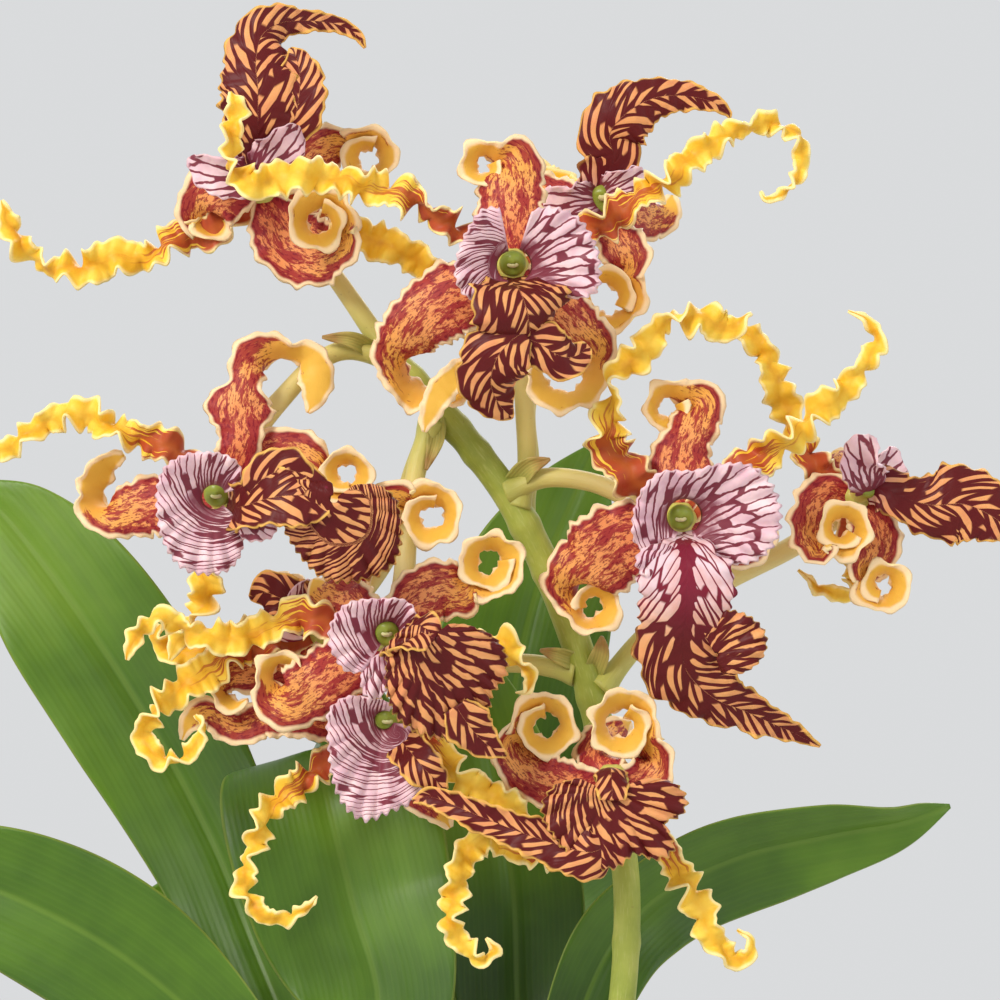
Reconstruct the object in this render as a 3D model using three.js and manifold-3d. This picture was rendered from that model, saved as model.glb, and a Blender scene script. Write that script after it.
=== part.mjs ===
// A potted orchid: leafy canes in a clay pot of bark, and one arching stalk of ten ruffled flowers.
// Millimetres, +Z up, +X to the right of someone in front of the plant, and the
// origin at the centre of the pot's underside.
import * as THREE from "three";
import { mergeVertices } from "three/addons/utils/BufferGeometryUtils.js";
import Module from "manifold-3d";

const wasm = await Module();
wasm.setup();

// The pot and what fills it.
const POT_HEIGHT = 125;
const POT_TOP_RADIUS = 78;
const POT_FOOT_RADIUS = 56;
const POT_WALL = 5;
const RIM_HEIGHT = 22;
const RIM_PROUD = 4;
const BEVEL = 1;
const BARK_BELOW_RIM = 12;
const BARK_LUMP = 2.2;
const BARK_RINGS = 4;
const CANE_SUNK = 40;
const CANE_UPRIGHT = 20;
const CANE_JOINTS = 5;
const GAP = 0.35;

// The front view that the spray is laid out on: a square of 1000 units a side, in which x runs to
// the right and y down from the top left corner. It is seen from VIEW_DISTANCE in front of the
// flower stalk, and one unit is UNIT mm at the stalk's own depth.
const UNIT = 0.2;
const VIEW_DISTANCE = 800;
const VIEW_CENTRE_X = 2;
const VIEW_CENTRE_Z = 425;
const VIEW_MIDDLE = 500;

// Plant parts.
const PETAL_THICKNESS = 0.9;
const SLIMMEST = 0.25;
const LEAST_CURL = 0.02;
const LEAF_THICKNESS = 1.5;
const HUB_RADIUS = 3.2;
const STEM_TIP_RADIUS = 1.7;
const STEM_BEHIND = 2.6;
const COLUMN_LENGTH = 8;
const COLUMN_RADIUS = 2.1;
const STALK_SIDES = 6;
const CANE_SIDES = 8;
const POT_SIDES = 20;

const rad = THREE.MathUtils.degToRad;
const TO_VIEWER = new THREE.Vector3(0, -1, 0);

// A place in the front view, "out" mm nearer to the viewer than the flower stalk.
function seen(x, y, out) {
  const scale = (UNIT * (VIEW_DISTANCE - out)) / VIEW_DISTANCE;
  return new THREE.Vector3(
    VIEW_CENTRE_X + (x - VIEW_MIDDLE) * scale,
    -out,
    VIEW_CENTRE_Z + (VIEW_MIDDLE - y) * scale,
  );
}

// A closed mesh as a solid that can be cut and joined, and back again.
function solidOf(geometry) {
  const bare = new THREE.BufferGeometry().setAttribute("position", geometry.getAttribute("position"));
  bare.setIndex(geometry.index);
  const merged = mergeVertices(bare, 1e-4);
  return new wasm.Manifold(
    new wasm.Mesh({
      numProp: 3,
      vertProperties: merged.attributes.position.array,
      triVerts: new Uint32Array(merged.index.array),
    }),
  );
}

function geometryOf(solid) {
  const mesh = solid.getMesh();
  return new THREE.BufferGeometry()
    .setAttribute("position", new THREE.BufferAttribute(mesh.vertProperties, 3))
    .setIndex(new THREE.BufferAttribute(mesh.triVerts, 1));
}

// The largest piece of a solid, which drops the scraps that a cut leaves.
function largest(solid) {
  return solid.decompose().sort((a, b) => b.volume() - a.volume())[0];
}

function joined(solids) {
  return solids.reduce((all, one) => all.add(one));
}

// A closed skin over a row of rings of points, with a fan over each end. From ring point "under"
// on, the quads are split the other way, so that a thin blade's two faces are split alike.
function loft(rings, under = Infinity) {
  const count = rings[0].length;
  const points = [];
  const faces = [];
  for (const ring of rings) for (const p of ring) points.push(p.x, p.y, p.z);
  for (let r = 0; r + 1 < rings.length; r++) {
    for (let i = 0; i < count; i++) {
      const a = r * count + i;
      const b = r * count + ((i + 1) % count);
      const c = a + count;
      const d = b + count;
      if (i < under) faces.push(a, b, d, a, d, c);
      else faces.push(a, b, c, b, d, c);
    }
  }
  const last = (rings.length - 1) * count;
  for (const [start, flip] of [[0, true], [last, false]]) {
    const middle = points.length / 3;
    const centre = rings[start / count].reduce((sum, p) => sum.clone().add(p)).divideScalar(count);
    points.push(centre.x, centre.y, centre.z);
    for (let i = 0; i < count; i++) {
      const a = start + i;
      const b = start + ((i + 1) % count);
      if (flip) faces.push(middle, b, a);
      else faces.push(middle, a, b);
    }
  }
  return new THREE.BufferGeometry()
    .setAttribute("position", new THREE.Float32BufferAttribute(points, 3))
    .setIndex(faces);
}

// The line and the width direction of a strip, step by step. A row of a strip is
// [x, y, out, half width, roll, curl]: a place in the front view, mm, degrees that the strip is
// turned about its own line, and degrees that each half is curled towards its upper face. Where
// "droop" is given, the roll counts from a frame carried along the line, which starts with its
// back to that direction of the front view; elsewhere it counts from facing the viewer.
function stations({ rows, droop }, steps) {
  const spline = (points) => new THREE.CatmullRomCurve3(points, false, "catmullrom", 0.5);
  const line = spline(rows.map(([x, y, out]) => seen(x, y, out)));
  const sizes = spline(rows.map((row) => new THREE.Vector3(row[3], row[4], row[5])));
  const made = [];
  let across = null;
  for (let i = 0; i <= steps; i++) {
    const u = i / steps;
    const t = line.getUtoTmapping(u);
    const along = line.getTangent(t).normalize();
    const { x: halfWidth, y: roll, z: curl } = sizes.getPoint(t);
    if (droop === undefined) {
      across = along.clone().cross(TO_VIEWER);
    } else if (across === null) {
      const down = new THREE.Vector3(Math.cos(rad(droop)), 0, Math.sin(rad(droop)));
      across = down.cross(along);
    } else {
      across = across.clone().addScaledVector(along, -across.dot(along));
    }
    across.normalize();
    const width = across.clone().applyAxisAngle(along, rad(roll));
    const up = width.clone().cross(along);
    const place = line.getPoint(t);
    made.push({ u, place, width, up, halfWidth: Math.max(halfWidth, SLIMMEST), curl: rad(curl) });
  }
  return made;
}

// A point of a strip's middle surface, at "side" from -1 to 1 across it, and the face's normal.
function skin(station, side, ruffle) {
  const { u, place, width, up, halfWidth, curl } = station;
  const bend = Math.abs(curl) < LEAST_CURL ? LEAST_CURL : curl;
  const turn = side * bend;
  const sideways = (halfWidth * Math.sin(turn)) / bend;
  const wave = Math.sin(2 * Math.PI * (ruffle.waves * u + (side < 0 ? 0.37 : 0)));
  const swing = ruffle.height * Math.min(1, halfWidth / 3) * wave * side * side;
  const lift = (halfWidth * (1 - Math.cos(turn))) / bend + swing * Math.min(1, 4 * u);
  const normal = width.clone().multiplyScalar(-Math.sin(turn)).addScaledVector(up, Math.cos(turn));
  const point = place.clone().addScaledVector(width, sideways).addScaledVector(up, lift);
  return { point, normal };
}

// A thin blade along a strip, lens-shaped in section.
function blade(strip, { stepsPerRow, lanes, thickness, ruffle }) {
  const rings = stations(strip, Math.round(strip.rows.length * stepsPerRow)).map((station) => {
    const upper = [];
    const lower = [];
    for (let i = 0; i <= lanes; i++) {
      const side = (2 * i) / lanes - 1;
      const { point, normal } = skin(station, side, ruffle);
      const half = (thickness / 2) * Math.min(1, station.halfWidth / thickness);
      const depth = i % lanes === 0 ? 0 : half;
      upper.push(point.clone().addScaledVector(normal, depth));
      if (depth > 0) lower.unshift(point.clone().addScaledVector(normal, -depth));
    }
    return [...upper, ...lower];
  });
  return solidOf(loft(rings, lanes));
}

// A sepal's strip: its rows, and then the scroll that its tip is wound into, given as
// [x, y, radius, degrees to start at, degrees to wind through, half width].
function sepal({ rows, scroll }) {
  if (!scroll) return { rows };
  const [x, y, radius, start, sweep, half] = scroll;
  const count = Math.round(Math.abs(sweep) / SCROLL_STEP);
  const wound = Array.from({ length: count + 1 }, (_, i) => {
    const share = i / count;
    const turn = rad(start + sweep * share);
    const away = radius * (1 - SCROLL_SHRINK * share);
    const place = [x + away * Math.cos(turn), y - away * Math.sin(turn), rows.at(-1)[2]];
    return [...place, half * (1 - SCROLL_NARROW * share), -Math.sign(sweep) * SCROLL_ROLL, SCROLL_FLARE];
  });
  return { rows: [...rows, ...wound] };
}

// A broad thin lobe round a hole, from rows of [degrees, distance, out] along its margin. It rises
// from "out" at the hole's edge to each row's own.
function collar({ about: [x, y, out], hole, rim }) {
  const rings = rim.map(([degrees, distance, rise]) => {
    const turn = rad(degrees);
    const at = (share, depth) => {
      const reach = hole + (distance - hole) * share;
      const place = [x + reach * Math.cos(turn), y - reach * Math.sin(turn)];
      return seen(...place, out + (rise - out) * share ** 0.8 + depth);
    };
    const half = PETAL_THICKNESS / 2;
    return [at(0, 0), at(0.5, half), at(1, 0), at(0.5, -half)];
  });
  return solidOf(loft(Math.sign(rim.at(-1)[0] - rim[0][0]) > 0 ? rings : rings.reverse(), 2));
}

// A ring of points round a place, in the plane of two directions across the line.
function round(place, side, up, radius, count) {
  return Array.from({ length: count }, (_, i) => {
    const turn = (2 * Math.PI * i) / count;
    return place
      .clone()
      .addScaledVector(side, radius * Math.cos(turn))
      .addScaledVector(up, -radius * Math.sin(turn));
  });
}

// A round stalk along rows of [x, y, out, radius], made "more" mm thicker all round.
function stalk(rows, more = 0) {
  const strip = { rows: rows.map(([x, y, out, radius]) => [x, y, out, radius + more, 0, 0]) };
  const rings = stations(strip, rows.length).map(({ place, width, up, halfWidth }) =>
    round(place, width, up, halfWidth, STALK_SIDES),
  );
  return solidOf(loft(rings));
}

// How a sepal's tip is wound: degrees to a step, the shares that the scroll shrinks and narrows by
// on the way in, and how far its strip is rolled and flared.
const SCROLL_STEP = 80;
const SCROLL_SHRINK = 0.42;
const SCROLL_NARROW = 0.3;
const SCROLL_ROLL = 56;
const SCROLL_FLARE = -24;

// How finely each kind of strip is cut, how thick it is, and how its edges wave.
const SEPAL = { stepsPerRow: 0.75, lanes: 3, thickness: PETAL_THICKNESS, ruffle: { waves: 4, height: 0.9 } };
const PETAL = { stepsPerRow: 0.92, lanes: 2, thickness: PETAL_THICKNESS, ruffle: { waves: 7, height: 1.3 } };
const LIP = { stepsPerRow: 0.85, lanes: 4, thickness: PETAL_THICKNESS, ruffle: { waves: 4, height: 1.1 } };
const EAR = { stepsPerRow: 0.6, lanes: 3, thickness: PETAL_THICKNESS, ruffle: { waves: 2, height: 0.5 } };
const LEAF = { stepsPerRow: 1, lanes: 4, thickness: LEAF_THICKNESS, ruffle: { waves: 0, height: 0 } };
const BRACT = { stepsPerRow: 1, lanes: 2, thickness: PETAL_THICKNESS, ruffle: { waves: 0, height: 0 } };

// The flowers, from the top of the spray down. "heart" is the flower's centre, and "front" the
// place that its column points to. Every sepal and petal starts at the heart. A lip is made of
// strips for its middle lobe and small ears, and of collars for its broad ears and lobes.
const FLOWERS = {
  top_left: {
    heart: [264, 192, -2],
    front: [238, 170, 4],
    stem: [[388, 354, -3, 2.2], [350, 298, -3, 1.9], [318, 254, -7, 1.8], [290, 222, -9, 1.8]],
    sepals: [
      { rows: [[254, 190, 1, 2.5, 0, 0], [236, 192, 3, 5.5, 0, -20], [216, 196, 3, 7, 0, -30],
        [202, 206, 0, 5.5, -20, -20], [200, 220, -4, 4.4, -40, 0]], scroll: [214, 222, 13, 170, 200, 3.4] },
      { rows: [[264, 196, -1, 2.5, 0, 0], [276, 220, 1, 6.5, 0, -10], [295, 244, 2, 8, 0, -20],
        [322, 252, 5, 7, 0, -10], [342, 242, 10, 5, -30, 0]], scroll: [320, 222, 25, -30, 470, 4] },
      { rows: [[270, 188, -1, 2.5, 0, 0], [295, 170, -6, 4.5, 0, -20], [318, 152, -9, 5.5, 0, -30],
        [336, 146, -8, 4.6, 20, -10]], scroll: [367, 158, 22, 150, -450, 3.8] },
    ],
    petals: [
      [[256, 194, -1, 2.2, 0, 0], [236, 214, -3, 3, 0, 0], [213, 230, -4, 3.5, 10, 10],
        [182, 238, -4, 3.9, 0, 10], [150, 258, -4, 3, 30, 0], [115, 258, -5, 4, -10, 10],
        [80, 268, -6, 3.5, 20, 0], [48, 268, -7, 2.6, -30, 0], [22, 248, -7, 3, 0, 10],
        [8, 222, -7, 2.3, 20, 0], [2, 200, -7, 0.4, 0, 0]],
      [[268, 194, -3, 2.2, 0, 0], [300, 205, -8, 2.6, 0, 0], [335, 222, -10, 3.5, 0, 0],
        [370, 238, -10, 3.9, 20, 0], [400, 250, -10, 3.7, -20, 0], [425, 268, -10, 3.2, 20, 0],
        [440, 287, -9, 2, 0, 0], [452, 302, -8, 0.4, 0, 0]],
    ],
    lip: [
      { rows: [[261, 188, 2, 3, 0, 30], [256, 174, 7, 4.5, 0, 30], [254, 160, 10, 5.5, 0, 30],
        [258, 140, 12, 6, 0, 20], [258, 115, 14, 7.4, 0, -10], [258, 88, 14, 7.8, 0, -20],
        [256, 62, 12, 7.2, 0, -30], [262, 36, 9, 6, 0, -30], [280, 23, 7, 4, 20, -20],
        [305, 21, 4, 2.4, 0, 0], [335, 24, 1, 1.8, 0, 0], [357, 35, 0, 1.2, 0, 0],
        [365, 48, 0, 0.3, 0, 0]] },
      { rows: [[282, 136, 11, 3, 0, 0], [294, 120, 13, 5, 0, 0], [299, 98, 13, 5.4, 0, 10],
        [300, 78, 12, 4.8, 0, 10], [297, 60, 11, 3, 0, 0], [291, 48, 10, 0.5, 0, 0]] },
      { ear: true, rows: [[256, 176, 8, 3, 0, 0], [240, 178, 11, 4.5, 0, 30],
        [220, 174, 13, 4.5, -20, 40], [202, 168, 13, 3.6, -30, 40], [188, 162, 11, 1, -30, 0]] },
      { ear: true, rows: [[258, 172, 9, 3, 0, 0], [268, 160, 13, 4.5, 0, 30],
        [282, 148, 15, 4.6, 20, 40], [296, 138, 14, 3.4, 20, 30], [304, 134, 12, 1, 20, 0]] },
    ],
  },
  top_front: {
    heart: [512, 264, 18],
    front: [514, 268, 40],
    stem: [[518, 508, -3, 2], [527, 470, -4, 2], [525, 410, -2, 2], [520, 340, 6, 1.9]],
    sepals: [
      { rows: [[512, 262, 18, 2.5, 0, 0], [511, 232, 18, 6.5, 0, -25], [510, 200, 16, 7.2, 0, -35],
        [511, 174, 14, 7.2, 0, -40], [507, 160, 12, 6.4, -25, -40]], scroll: [484, 166, 17, 40, 340, 3.4] },
      { rows: [[505, 272, 18, 2.5, 0, 0], [475, 290, 17, 6.5, 0, -15], [445, 302, 17, 8, 0, -25],
        [420, 322, 16, 7, 0, -30], [404, 345, 14, 6.5, -10, -40], [398, 366, 9, 5, -45, -30],
        [408, 388, 7, 5, -54, -20], [432, 398, 6, 4.6, -54, -10], [458, 390, 7, 4, -54, -10],
        [472, 374, 9, 3.2, -40, 0], [460, 374, 13, 3, 0, 0], [441, 392, 14, 3, 0, 0],
        [428, 418, 14, 2, 0, 0], [424, 432, 14, 0.4, 0, 0]] },
      { rows: [[520, 272, 18, 2.5, 0, 0], [548, 300, 15, 6, 0, -15], [575, 330, 14, 6.5, 0, -30],
        [594, 352, 12, 5.5, 20, -20]], scroll: [560, 370, 36, 12, -215, 4.8] },
    ],
    petals: [
      [[520, 260, 18, 2.2, 0, 0], [560, 240, 17, 2.8, 0, 0], [600, 222, 17, 3.7, 0, 10],
        [640, 200, 17, 3.9, -20, 15], [672, 178, 17, 3.5, 30, 10], [700, 152, 16, 3, -30, 0],
        [735, 132, 14, 2.6, 30, 0], [770, 122, 12, 2.3, 0, -10], [797, 138, 11, 2.2, -30, -20],
        [801, 165, 11, 1.7, -40, -20], [785, 192, 12, 1.2, -30, -10], [766, 199, 13, 0.7, 0, 0],
        [761, 191, 13, 0.3, 0, 0]],
      [[504, 260, 18, 2.2, 0, 0], [478, 242, 17, 2.6, 0, 10], [455, 228, 18, 3.2, 10, 20],
        [432, 213, 20, 3.2, -40, 10], [400, 196, 22, 4, 10, 15], [362, 186, 23, 3.7, 0, 10],
        [325, 178, 25, 3.5, 20, 0], [285, 176, 26, 3.7, -10, 10], [254, 184, 27, 3.2, 30, 20],
        [236, 170, 27, 2.8, 60, 20], [229, 140, 27, 2.5, 20, 20], [236, 112, 26, 2.4, 10, 10],
        [230, 92, 25, 0.4, 0, 0]],
    ],
    lip: [
      { droop: -90, rows: [[513, 280, 24, 3.5, 0, 30], [513, 285, 29, 6, 0, 30],
        [517, 288, 33, 8.5, 0, 10], [521, 296, 36, 10, 0, -10], [526, 310, 37, 10.6, 0, -30],
        [529, 326, 36, 10, 0, -50], [530, 342, 32, 8, 0, -60], [530, 352, 27, 4, 0, -40]] },
      { rows: [[524, 332, 35, 3, 0, 0], [510, 342, 36, 6, 0, -20], [496, 360, 36, 7.2, 0, -30],
        [491, 384, 33, 6.8, 0, -30], [499, 404, 29, 4.4, 0, -30], [512, 418, 25, 0.5, 0, 0]] },
      { rows: [[520, 336, 34, 3, 0, 0], [540, 344, 34, 4.6, 0, -10], [560, 356, 33, 4.6, 0, -20],
        [576, 356, 31, 3.6, 0, 0], [588, 346, 29, 1.2, 0, 0]] },
      { about: [512, 266, 28], hole: 15, rim: [[255, 30, 28], [235, 44, 30], [212, 56, 32],
        [190, 58, 33], [165, 56, 34], [140, 58, 35], [118, 64, 35], [102, 60, 34]] },
      { about: [514, 266, 28], hole: 17, rim: [[72, 58, 35], [58, 70, 36], [38, 80, 36], [18, 84, 35],
        [0, 86, 34], [-18, 86, 33], [-32, 62, 31], [-50, 34, 28]] },
    ],
  },
  top_back: {
    heart: [598, 214, -18],
    front: [606, 190, -6],
    stem: [[522, 516, -5, 2], [530, 465, -10, 1.9], [527, 405, -15, 1.9], [548, 330, -22, 1.8]],
    sepals: [
      { rows: [[604, 220, -17, 2.5, 0, 0], [618, 240, -13, 5, 0, -10], [631, 262, -11, 5, 30, 0]],
        scroll: [607, 297, 28, 42, -440, 4] },
      { rows: [[606, 212, -19, 2.5, 0, 0], [632, 214, -26, 4.6, 0, -20], [652, 218, -34, 5, 0, -30],
        [668, 212, -40, 3.4, 0, -20], [672, 196, -43, 1.2, 0, 0]] },
      { rows: [[592, 212, -19, 2.5, 0, 0], [566, 202, -24, 5, 0, -20], [540, 190, -28, 4.6, 0, -30],
        [524, 176, -32, 3, 0, 0], [512, 170, -36, 0.8, 0, 0]] },
    ],
    petals: [
      [[596, 220, -19, 2.2, 0, 0], [578, 238, -27, 3, 0, 0], [562, 262, -36, 3.3, 20, 10],
        [550, 290, -44, 3, -20, 0], [548, 318, -50, 2.3, 20, 0], [556, 338, -54, 0.4, 0, 0]],
      [[600, 208, -20, 2.2, 0, 0], [586, 200, -30, 3, 0, 0], [562, 188, -40, 3.3, 20, 10],
        [538, 172, -50, 3, -20, 0], [518, 160, -58, 2.4, 20, 0], [506, 150, -62, 0.4, 0, 0]],
    ],
    lip: [
      { rows: [[600, 206, -13, 3, 0, 30], [600, 195, -12, 5, 0, 30], [606, 178, -11, 6, 0, 20],
        [614, 158, -10, 5.4, 0, 0], [610, 134, -9, 7, 0, -20], [628, 112, -8, 6.8, 0, -30],
        [655, 98, -9, 4.6, 0, -30], [685, 96, -10, 3.2, 0, -20], [712, 102, -11, 2, 0, 0],
        [727, 112, -12, 1, 0, 0], [730, 118, -12, 0.3, 0, 0]] },
      { ear: true, rows: [[600, 200, -12, 3, 0, 0], [586, 202, -9, 4.4, 0, 30],
        [568, 204, -8, 4.4, -20, 40], [552, 198, -9, 3, -30, 30], [544, 194, -11, 1, -30, 0]] },
      { ear: true, rows: [[601, 196, -12, 3, 0, 0], [614, 192, -8, 4.4, 0, 30],
        [628, 186, -7, 4.4, 20, 40], [640, 180, -8, 3, 20, 30], [646, 176, -10, 1, 20, 0]] },
    ],
  },
  left: {
    heart: [222, 494, 12],
    front: [208, 500, 32],
    stem: [[394, 360, -3, 2.2], [350, 350, -2, 2], [318, 362, 0, 1.9], [285, 395, 2, 1.9],
      [252, 436, 4, 1.9]],
    sepals: [
      { rows: [[224, 488, 12, 2.5, 0, 0], [236, 455, 14, 4.4, 0, -20], [240, 430, 14, 5, 0, -30],
        [240, 405, 13, 7.4, 0, -30], [245, 382, 12, 3.6, 0, -30], [252, 362, 10, 5, 10, -40],
        [268, 352, 7, 4.4, 40, -30], [288, 352, 5, 3.2, 50, -10], [306, 356, 5, 3.4, 30, -20],
        [316, 376, 6, 4, 0, -30], [314, 398, 7, 2.6, 0, -20], [308, 413, 7, 0.4, 0, 0]] },
      { rows: [[214, 500, 12, 2.5, 0, 0], [180, 503, 10, 5.5, 0, -20], [150, 505, 9, 6.5, 0, -30],
        [122, 512, 8, 5.5, 10, -30], [102, 514, 6, 4.4, 40, -20], [92, 500, 4, 4.4, 50, -10],
        [96, 478, 4, 4, 50, 0], [108, 462, 5, 3, 40, 0], [124, 455, 6, 1, 20, 0]] },
      { rows: [[232, 488, 11, 2.5, 0, 0], [262, 460, 11, 5, 0, -10], [290, 452, 11, 5.2, 0, -20],
        [312, 462, 12, 4.6, -20, 0]], scroll: [345, 474, 21, 190, 460, 3.6] },
    ],
    petals: [
      [[214, 486, 12, 2.2, 0, 0], [185, 458, 13, 3.2, 0, 0], [150, 440, 13, 3.7, 0, 10],
        [115, 432, 13, 3.2, 20, 10], [85, 415, 12, 3.3, -10, 10], [50, 420, 11, 2.8, 20, 0],
        [25, 438, 10, 2.3, 0, 0], [0, 452, 9, 2, 0, 0], [-22, 460, 8, 0.4, 0, 0]],
      [[220, 502, 11, 2.2, 0, 0], [212, 530, 8, 2.6, 0, 0], [207, 565, 7, 3.5, 0, 10],
        [206, 592, 6, 3.5, 0, 10], [199, 614, 5, 2.8, 30, 0], [188, 630, 4, 2.4, 0, 0],
        [176, 645, 4, 1.8, 0, 0], [170, 660, 4, 0.4, 0, 0]],
    ],
    lip: [
      { droop: -5, rows: [[229, 504, 18, 3.5, 0, 30], [234, 508, 23, 4.6, 0, 30],
        [246, 506, 29, 5, 0, 30], [264, 500, 32, 5.4, 0, 20], [288, 496, 34, 6, 0, 0],
        [310, 496, 34, 6, 0, -10], [330, 500, 33, 3, 0, 0]] },
      { about: [334, 499, 35], hole: 4, rim: [[100, 16, 33], [135, 26, 34], [155, 44, 34],
        [172, 54, 33], [190, 56, 32], [208, 58, 31], [228, 62, 30], [246, 70, 30], [262, 80, 29],
        [278, 84, 28], [296, 88, 28], [314, 88, 28], [330, 78, 29], [345, 70, 30], [360, 62, 31],
        [374, 50, 32], [392, 26, 33]] },
      { rows: [[250, 492, 30, 2.5, 0, 0], [264, 478, 32, 4.4, 0, 0], [284, 470, 33, 4.6, 0, -10],
        [302, 474, 33, 3, 0, 0], [312, 484, 33, 0.5, 0, 0]] },
      { about: [252, 500, 28], hole: 4, rim: [[240, 30, 27], [258, 40, 28], [280, 42, 29],
        [300, 42, 29], [320, 34, 28]] },
      { about: [214, 497, 24], hole: 12, rim: [[20, 22, 27], [48, 40, 30], [75, 44, 32], [100, 46, 33],
        [125, 52, 33], [150, 58, 32], [175, 58, 31], [198, 60, 30], [222, 68, 29], [246, 78, 27],
        [264, 78, 26], [282, 74, 25], [300, 58, 24], [318, 34, 24]] },
    ],
  },
  right: {
    heart: [680, 518, 18],
    front: [682, 522, 40],
    stem: [[508, 492, -3, 2.2], [545, 478, -1, 2], [590, 482, 2, 1.9], [632, 498, 6, 1.9]],
    sepals: [
      { rows: [[682, 514, 18, 2.5, 0, 0], [681, 486, 18, 6.5, 0, -25], [682, 462, 17, 7.2, 0, -30],
        [688, 440, 16, 5.4, 0, -30], [697, 418, 14, 5.2, 0, -35], [699, 402, 12, 5, -15, -40]],
        scroll: [669, 409, 19, 50, 340, 3.4] },
      { rows: [[675, 525, 17, 2.5, 0, 0], [648, 532, 16, 6.5, 0, -10], [620, 542, 16, 8.2, 0, -15],
        [596, 560, 15, 8.8, 0, -25], [577, 576, 13, 7.5, -10, -60], [568, 592, 9, 5, -45, -40]],
        scroll: [594, 605, 20, 195, 360, 3.6] },
      { rows: [[686, 525, 16, 2.5, 0, 0], [712, 538, 11, 4.6, 0, -20], [740, 548, 7, 4.6, 0, -30],
        [760, 538, 3, 3.6, -50, -20], [762, 518, 1, 2.8, -54, -22], [748, 510, 2, 0.8, -54, -22]] },
    ],
    petals: [
      [[688, 514, 18, 2.4, 0, 0], [715, 490, 17, 3, 0, 0], [745, 468, 17, 4, 0, 10],
        [785, 440, 17, 3.9, 20, 10], [815, 412, 16, 3.5, -30, 0], [840, 392, 15, 3.2, 30, 0],
        [862, 368, 14, 2.3, 0, 0], [877, 342, 13, 2, -10, -20], [868, 322, 12, 1.2, -20, 0],
        [848, 311, 12, 0.3, 0, 0]],
      [[674, 514, 18, 2.4, 0, 0], [650, 495, 17, 3.3, 0, 0], [625, 468, 17, 4.8, 0, 15],
        [605, 438, 18, 4.4, 20, 20], [611, 405, 20, 3, -30, 0], [612, 378, 20, 2.2, -60, 0],
        [640, 355, 20, 3.5, 20, 10], [662, 325, 19, 2.6, 60, 0], [695, 318, 18, 3.5, 0, 15],
        [728, 328, 17, 3, -20, 0], [752, 314, 16, 0.4, 0, 0]],
    ],
    lip: [
      { droop: -90, rows: [[682, 534, 24, 3.5, 0, 30], [684, 541, 29, 4, 0, 20],
        [686, 550, 33, 5.5, 0, 10], [687, 566, 36, 8.6, 0, 10], [687, 590, 36, 9.2, 0, -10],
        [685, 620, 34, 8.8, 0, -15], [682, 650, 31, 9.2, 0, -20], [690, 676, 29, 9, 0, -30],
        [714, 697, 26, 6.6, 0, -20], [746, 711, 23, 4.6, 0, 10], [785, 728, 19, 2.8, 0, 20],
        [820, 746, 16, 0.4, 0, 0]] },
      { about: [716, 655, 32], hole: 2, rim: [[-70, 18, 31], [-30, 34, 33], [0, 48, 34], [22, 54, 34],
        [45, 52, 34], [68, 48, 34], [90, 44, 33], [120, 30, 32]] },
      { about: [684, 516, 27], hole: 17, rim: [[248, 36, 29], [228, 50, 31], [208, 56, 33],
        [185, 52, 34], [162, 50, 35], [140, 50, 36], [118, 50, 36], [95, 46, 36], [75, 48, 36],
        [55, 64, 36], [35, 86, 35], [15, 95, 34], [-5, 97, 33], [-22, 92, 32], [-38, 78, 31],
        [-52, 56, 30], [-64, 36, 29]] },
      { about: [684, 552, 32], hole: 3, rim: [[258, 22, 33], [238, 38, 35], [215, 46, 37],
        [195, 50, 38], [178, 44, 37], [160, 24, 34]] },
    ],
  },
  far_right: {
    heart: [856, 496, -10],
    front: [872, 484, -2],
    stem: [[600, 690, -3, 2.2], [650, 632, -7, 2], [720, 585, -11, 1.9], [790, 548, -15, 1.9],
      [830, 522, -18, 1.9]],
    sepals: [
      { rows: [[850, 500, -9, 2.5, 0, 0], [832, 494, -7, 5, 0, -20], [815, 508, -4, 5.4, -20, -10],
        [810, 532, -2, 5.4, -30, 0], [820, 552, 0, 4.8, -50, 0]], scroll: [842, 528, 21, 215, 480, 3.6] },
      { rows: [[858, 502, -10, 2.5, 0, 0], [872, 526, -8, 5.5, 0, -10], [874, 550, -6, 5.5, 0, -10],
        [863, 570, -4, 5, -40, 0]], scroll: [883, 584, 20, 165, 450, 3.6] },
      { rows: [[856, 490, -12, 2.5, 0, 0], [850, 472, -17, 4.5, 0, -20], [840, 458, -22, 4, 0, -30],
        [834, 452, -28, 1, 0, 0]] },
    ],
    petals: [
      [[850, 492, -10, 2.2, 0, 0], [828, 478, -9, 3, 0, 0], [812, 460, -8, 3.5, 20, 10],
        [800, 435, -8, 3.2, -20, 0], [786, 408, -8, 3.3, 10, 0], [772, 378, -8, 3.9, 0, 10],
        [766, 354, -8, 2.6, 30, 0], [748, 337, -9, 2.6, -20, 0], [735, 324, -10, 0.5, 0, 0]],
      [[852, 502, -13, 2.2, 0, 0], [848, 540, -14, 2.6, 0, 0], [858, 578, -13, 2.6, 0, 0],
        [845, 594, -12, 2, 0, 0], [820, 588, -12, 1.4, 0, 0], [798, 570, -12, 0.3, 0, 0]],
    ],
    lip: [
      { rows: [[866, 492, -5, 3, 0, 30], [876, 488, -3, 4.6, 0, 30], [888, 490, -2, 5, 0, 20],
        [904, 498, -1, 4.6, 0, 0], [932, 505, 0, 7, 0, -20], [962, 504, 1, 8.6, 0, -30],
        [988, 514, 1, 6.4, 0, -20], [1012, 532, 0, 3, 0, 0], [1030, 550, -2, 0.4, 0, 0]] },
      { ear: true, rows: [[870, 490, -3, 3, 0, 0], [866, 476, 1, 4.4, 0, 30],
        [862, 460, 4, 4.6, -20, 40], [866, 446, 5, 3.4, -20, 30], [872, 436, 4, 1, -20, 0]] },
      { ear: true, rows: [[874, 490, -4, 3, 0, 0], [882, 478, -8, 4, 0, 30], [888, 466, -10, 4, 20, 40],
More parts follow.
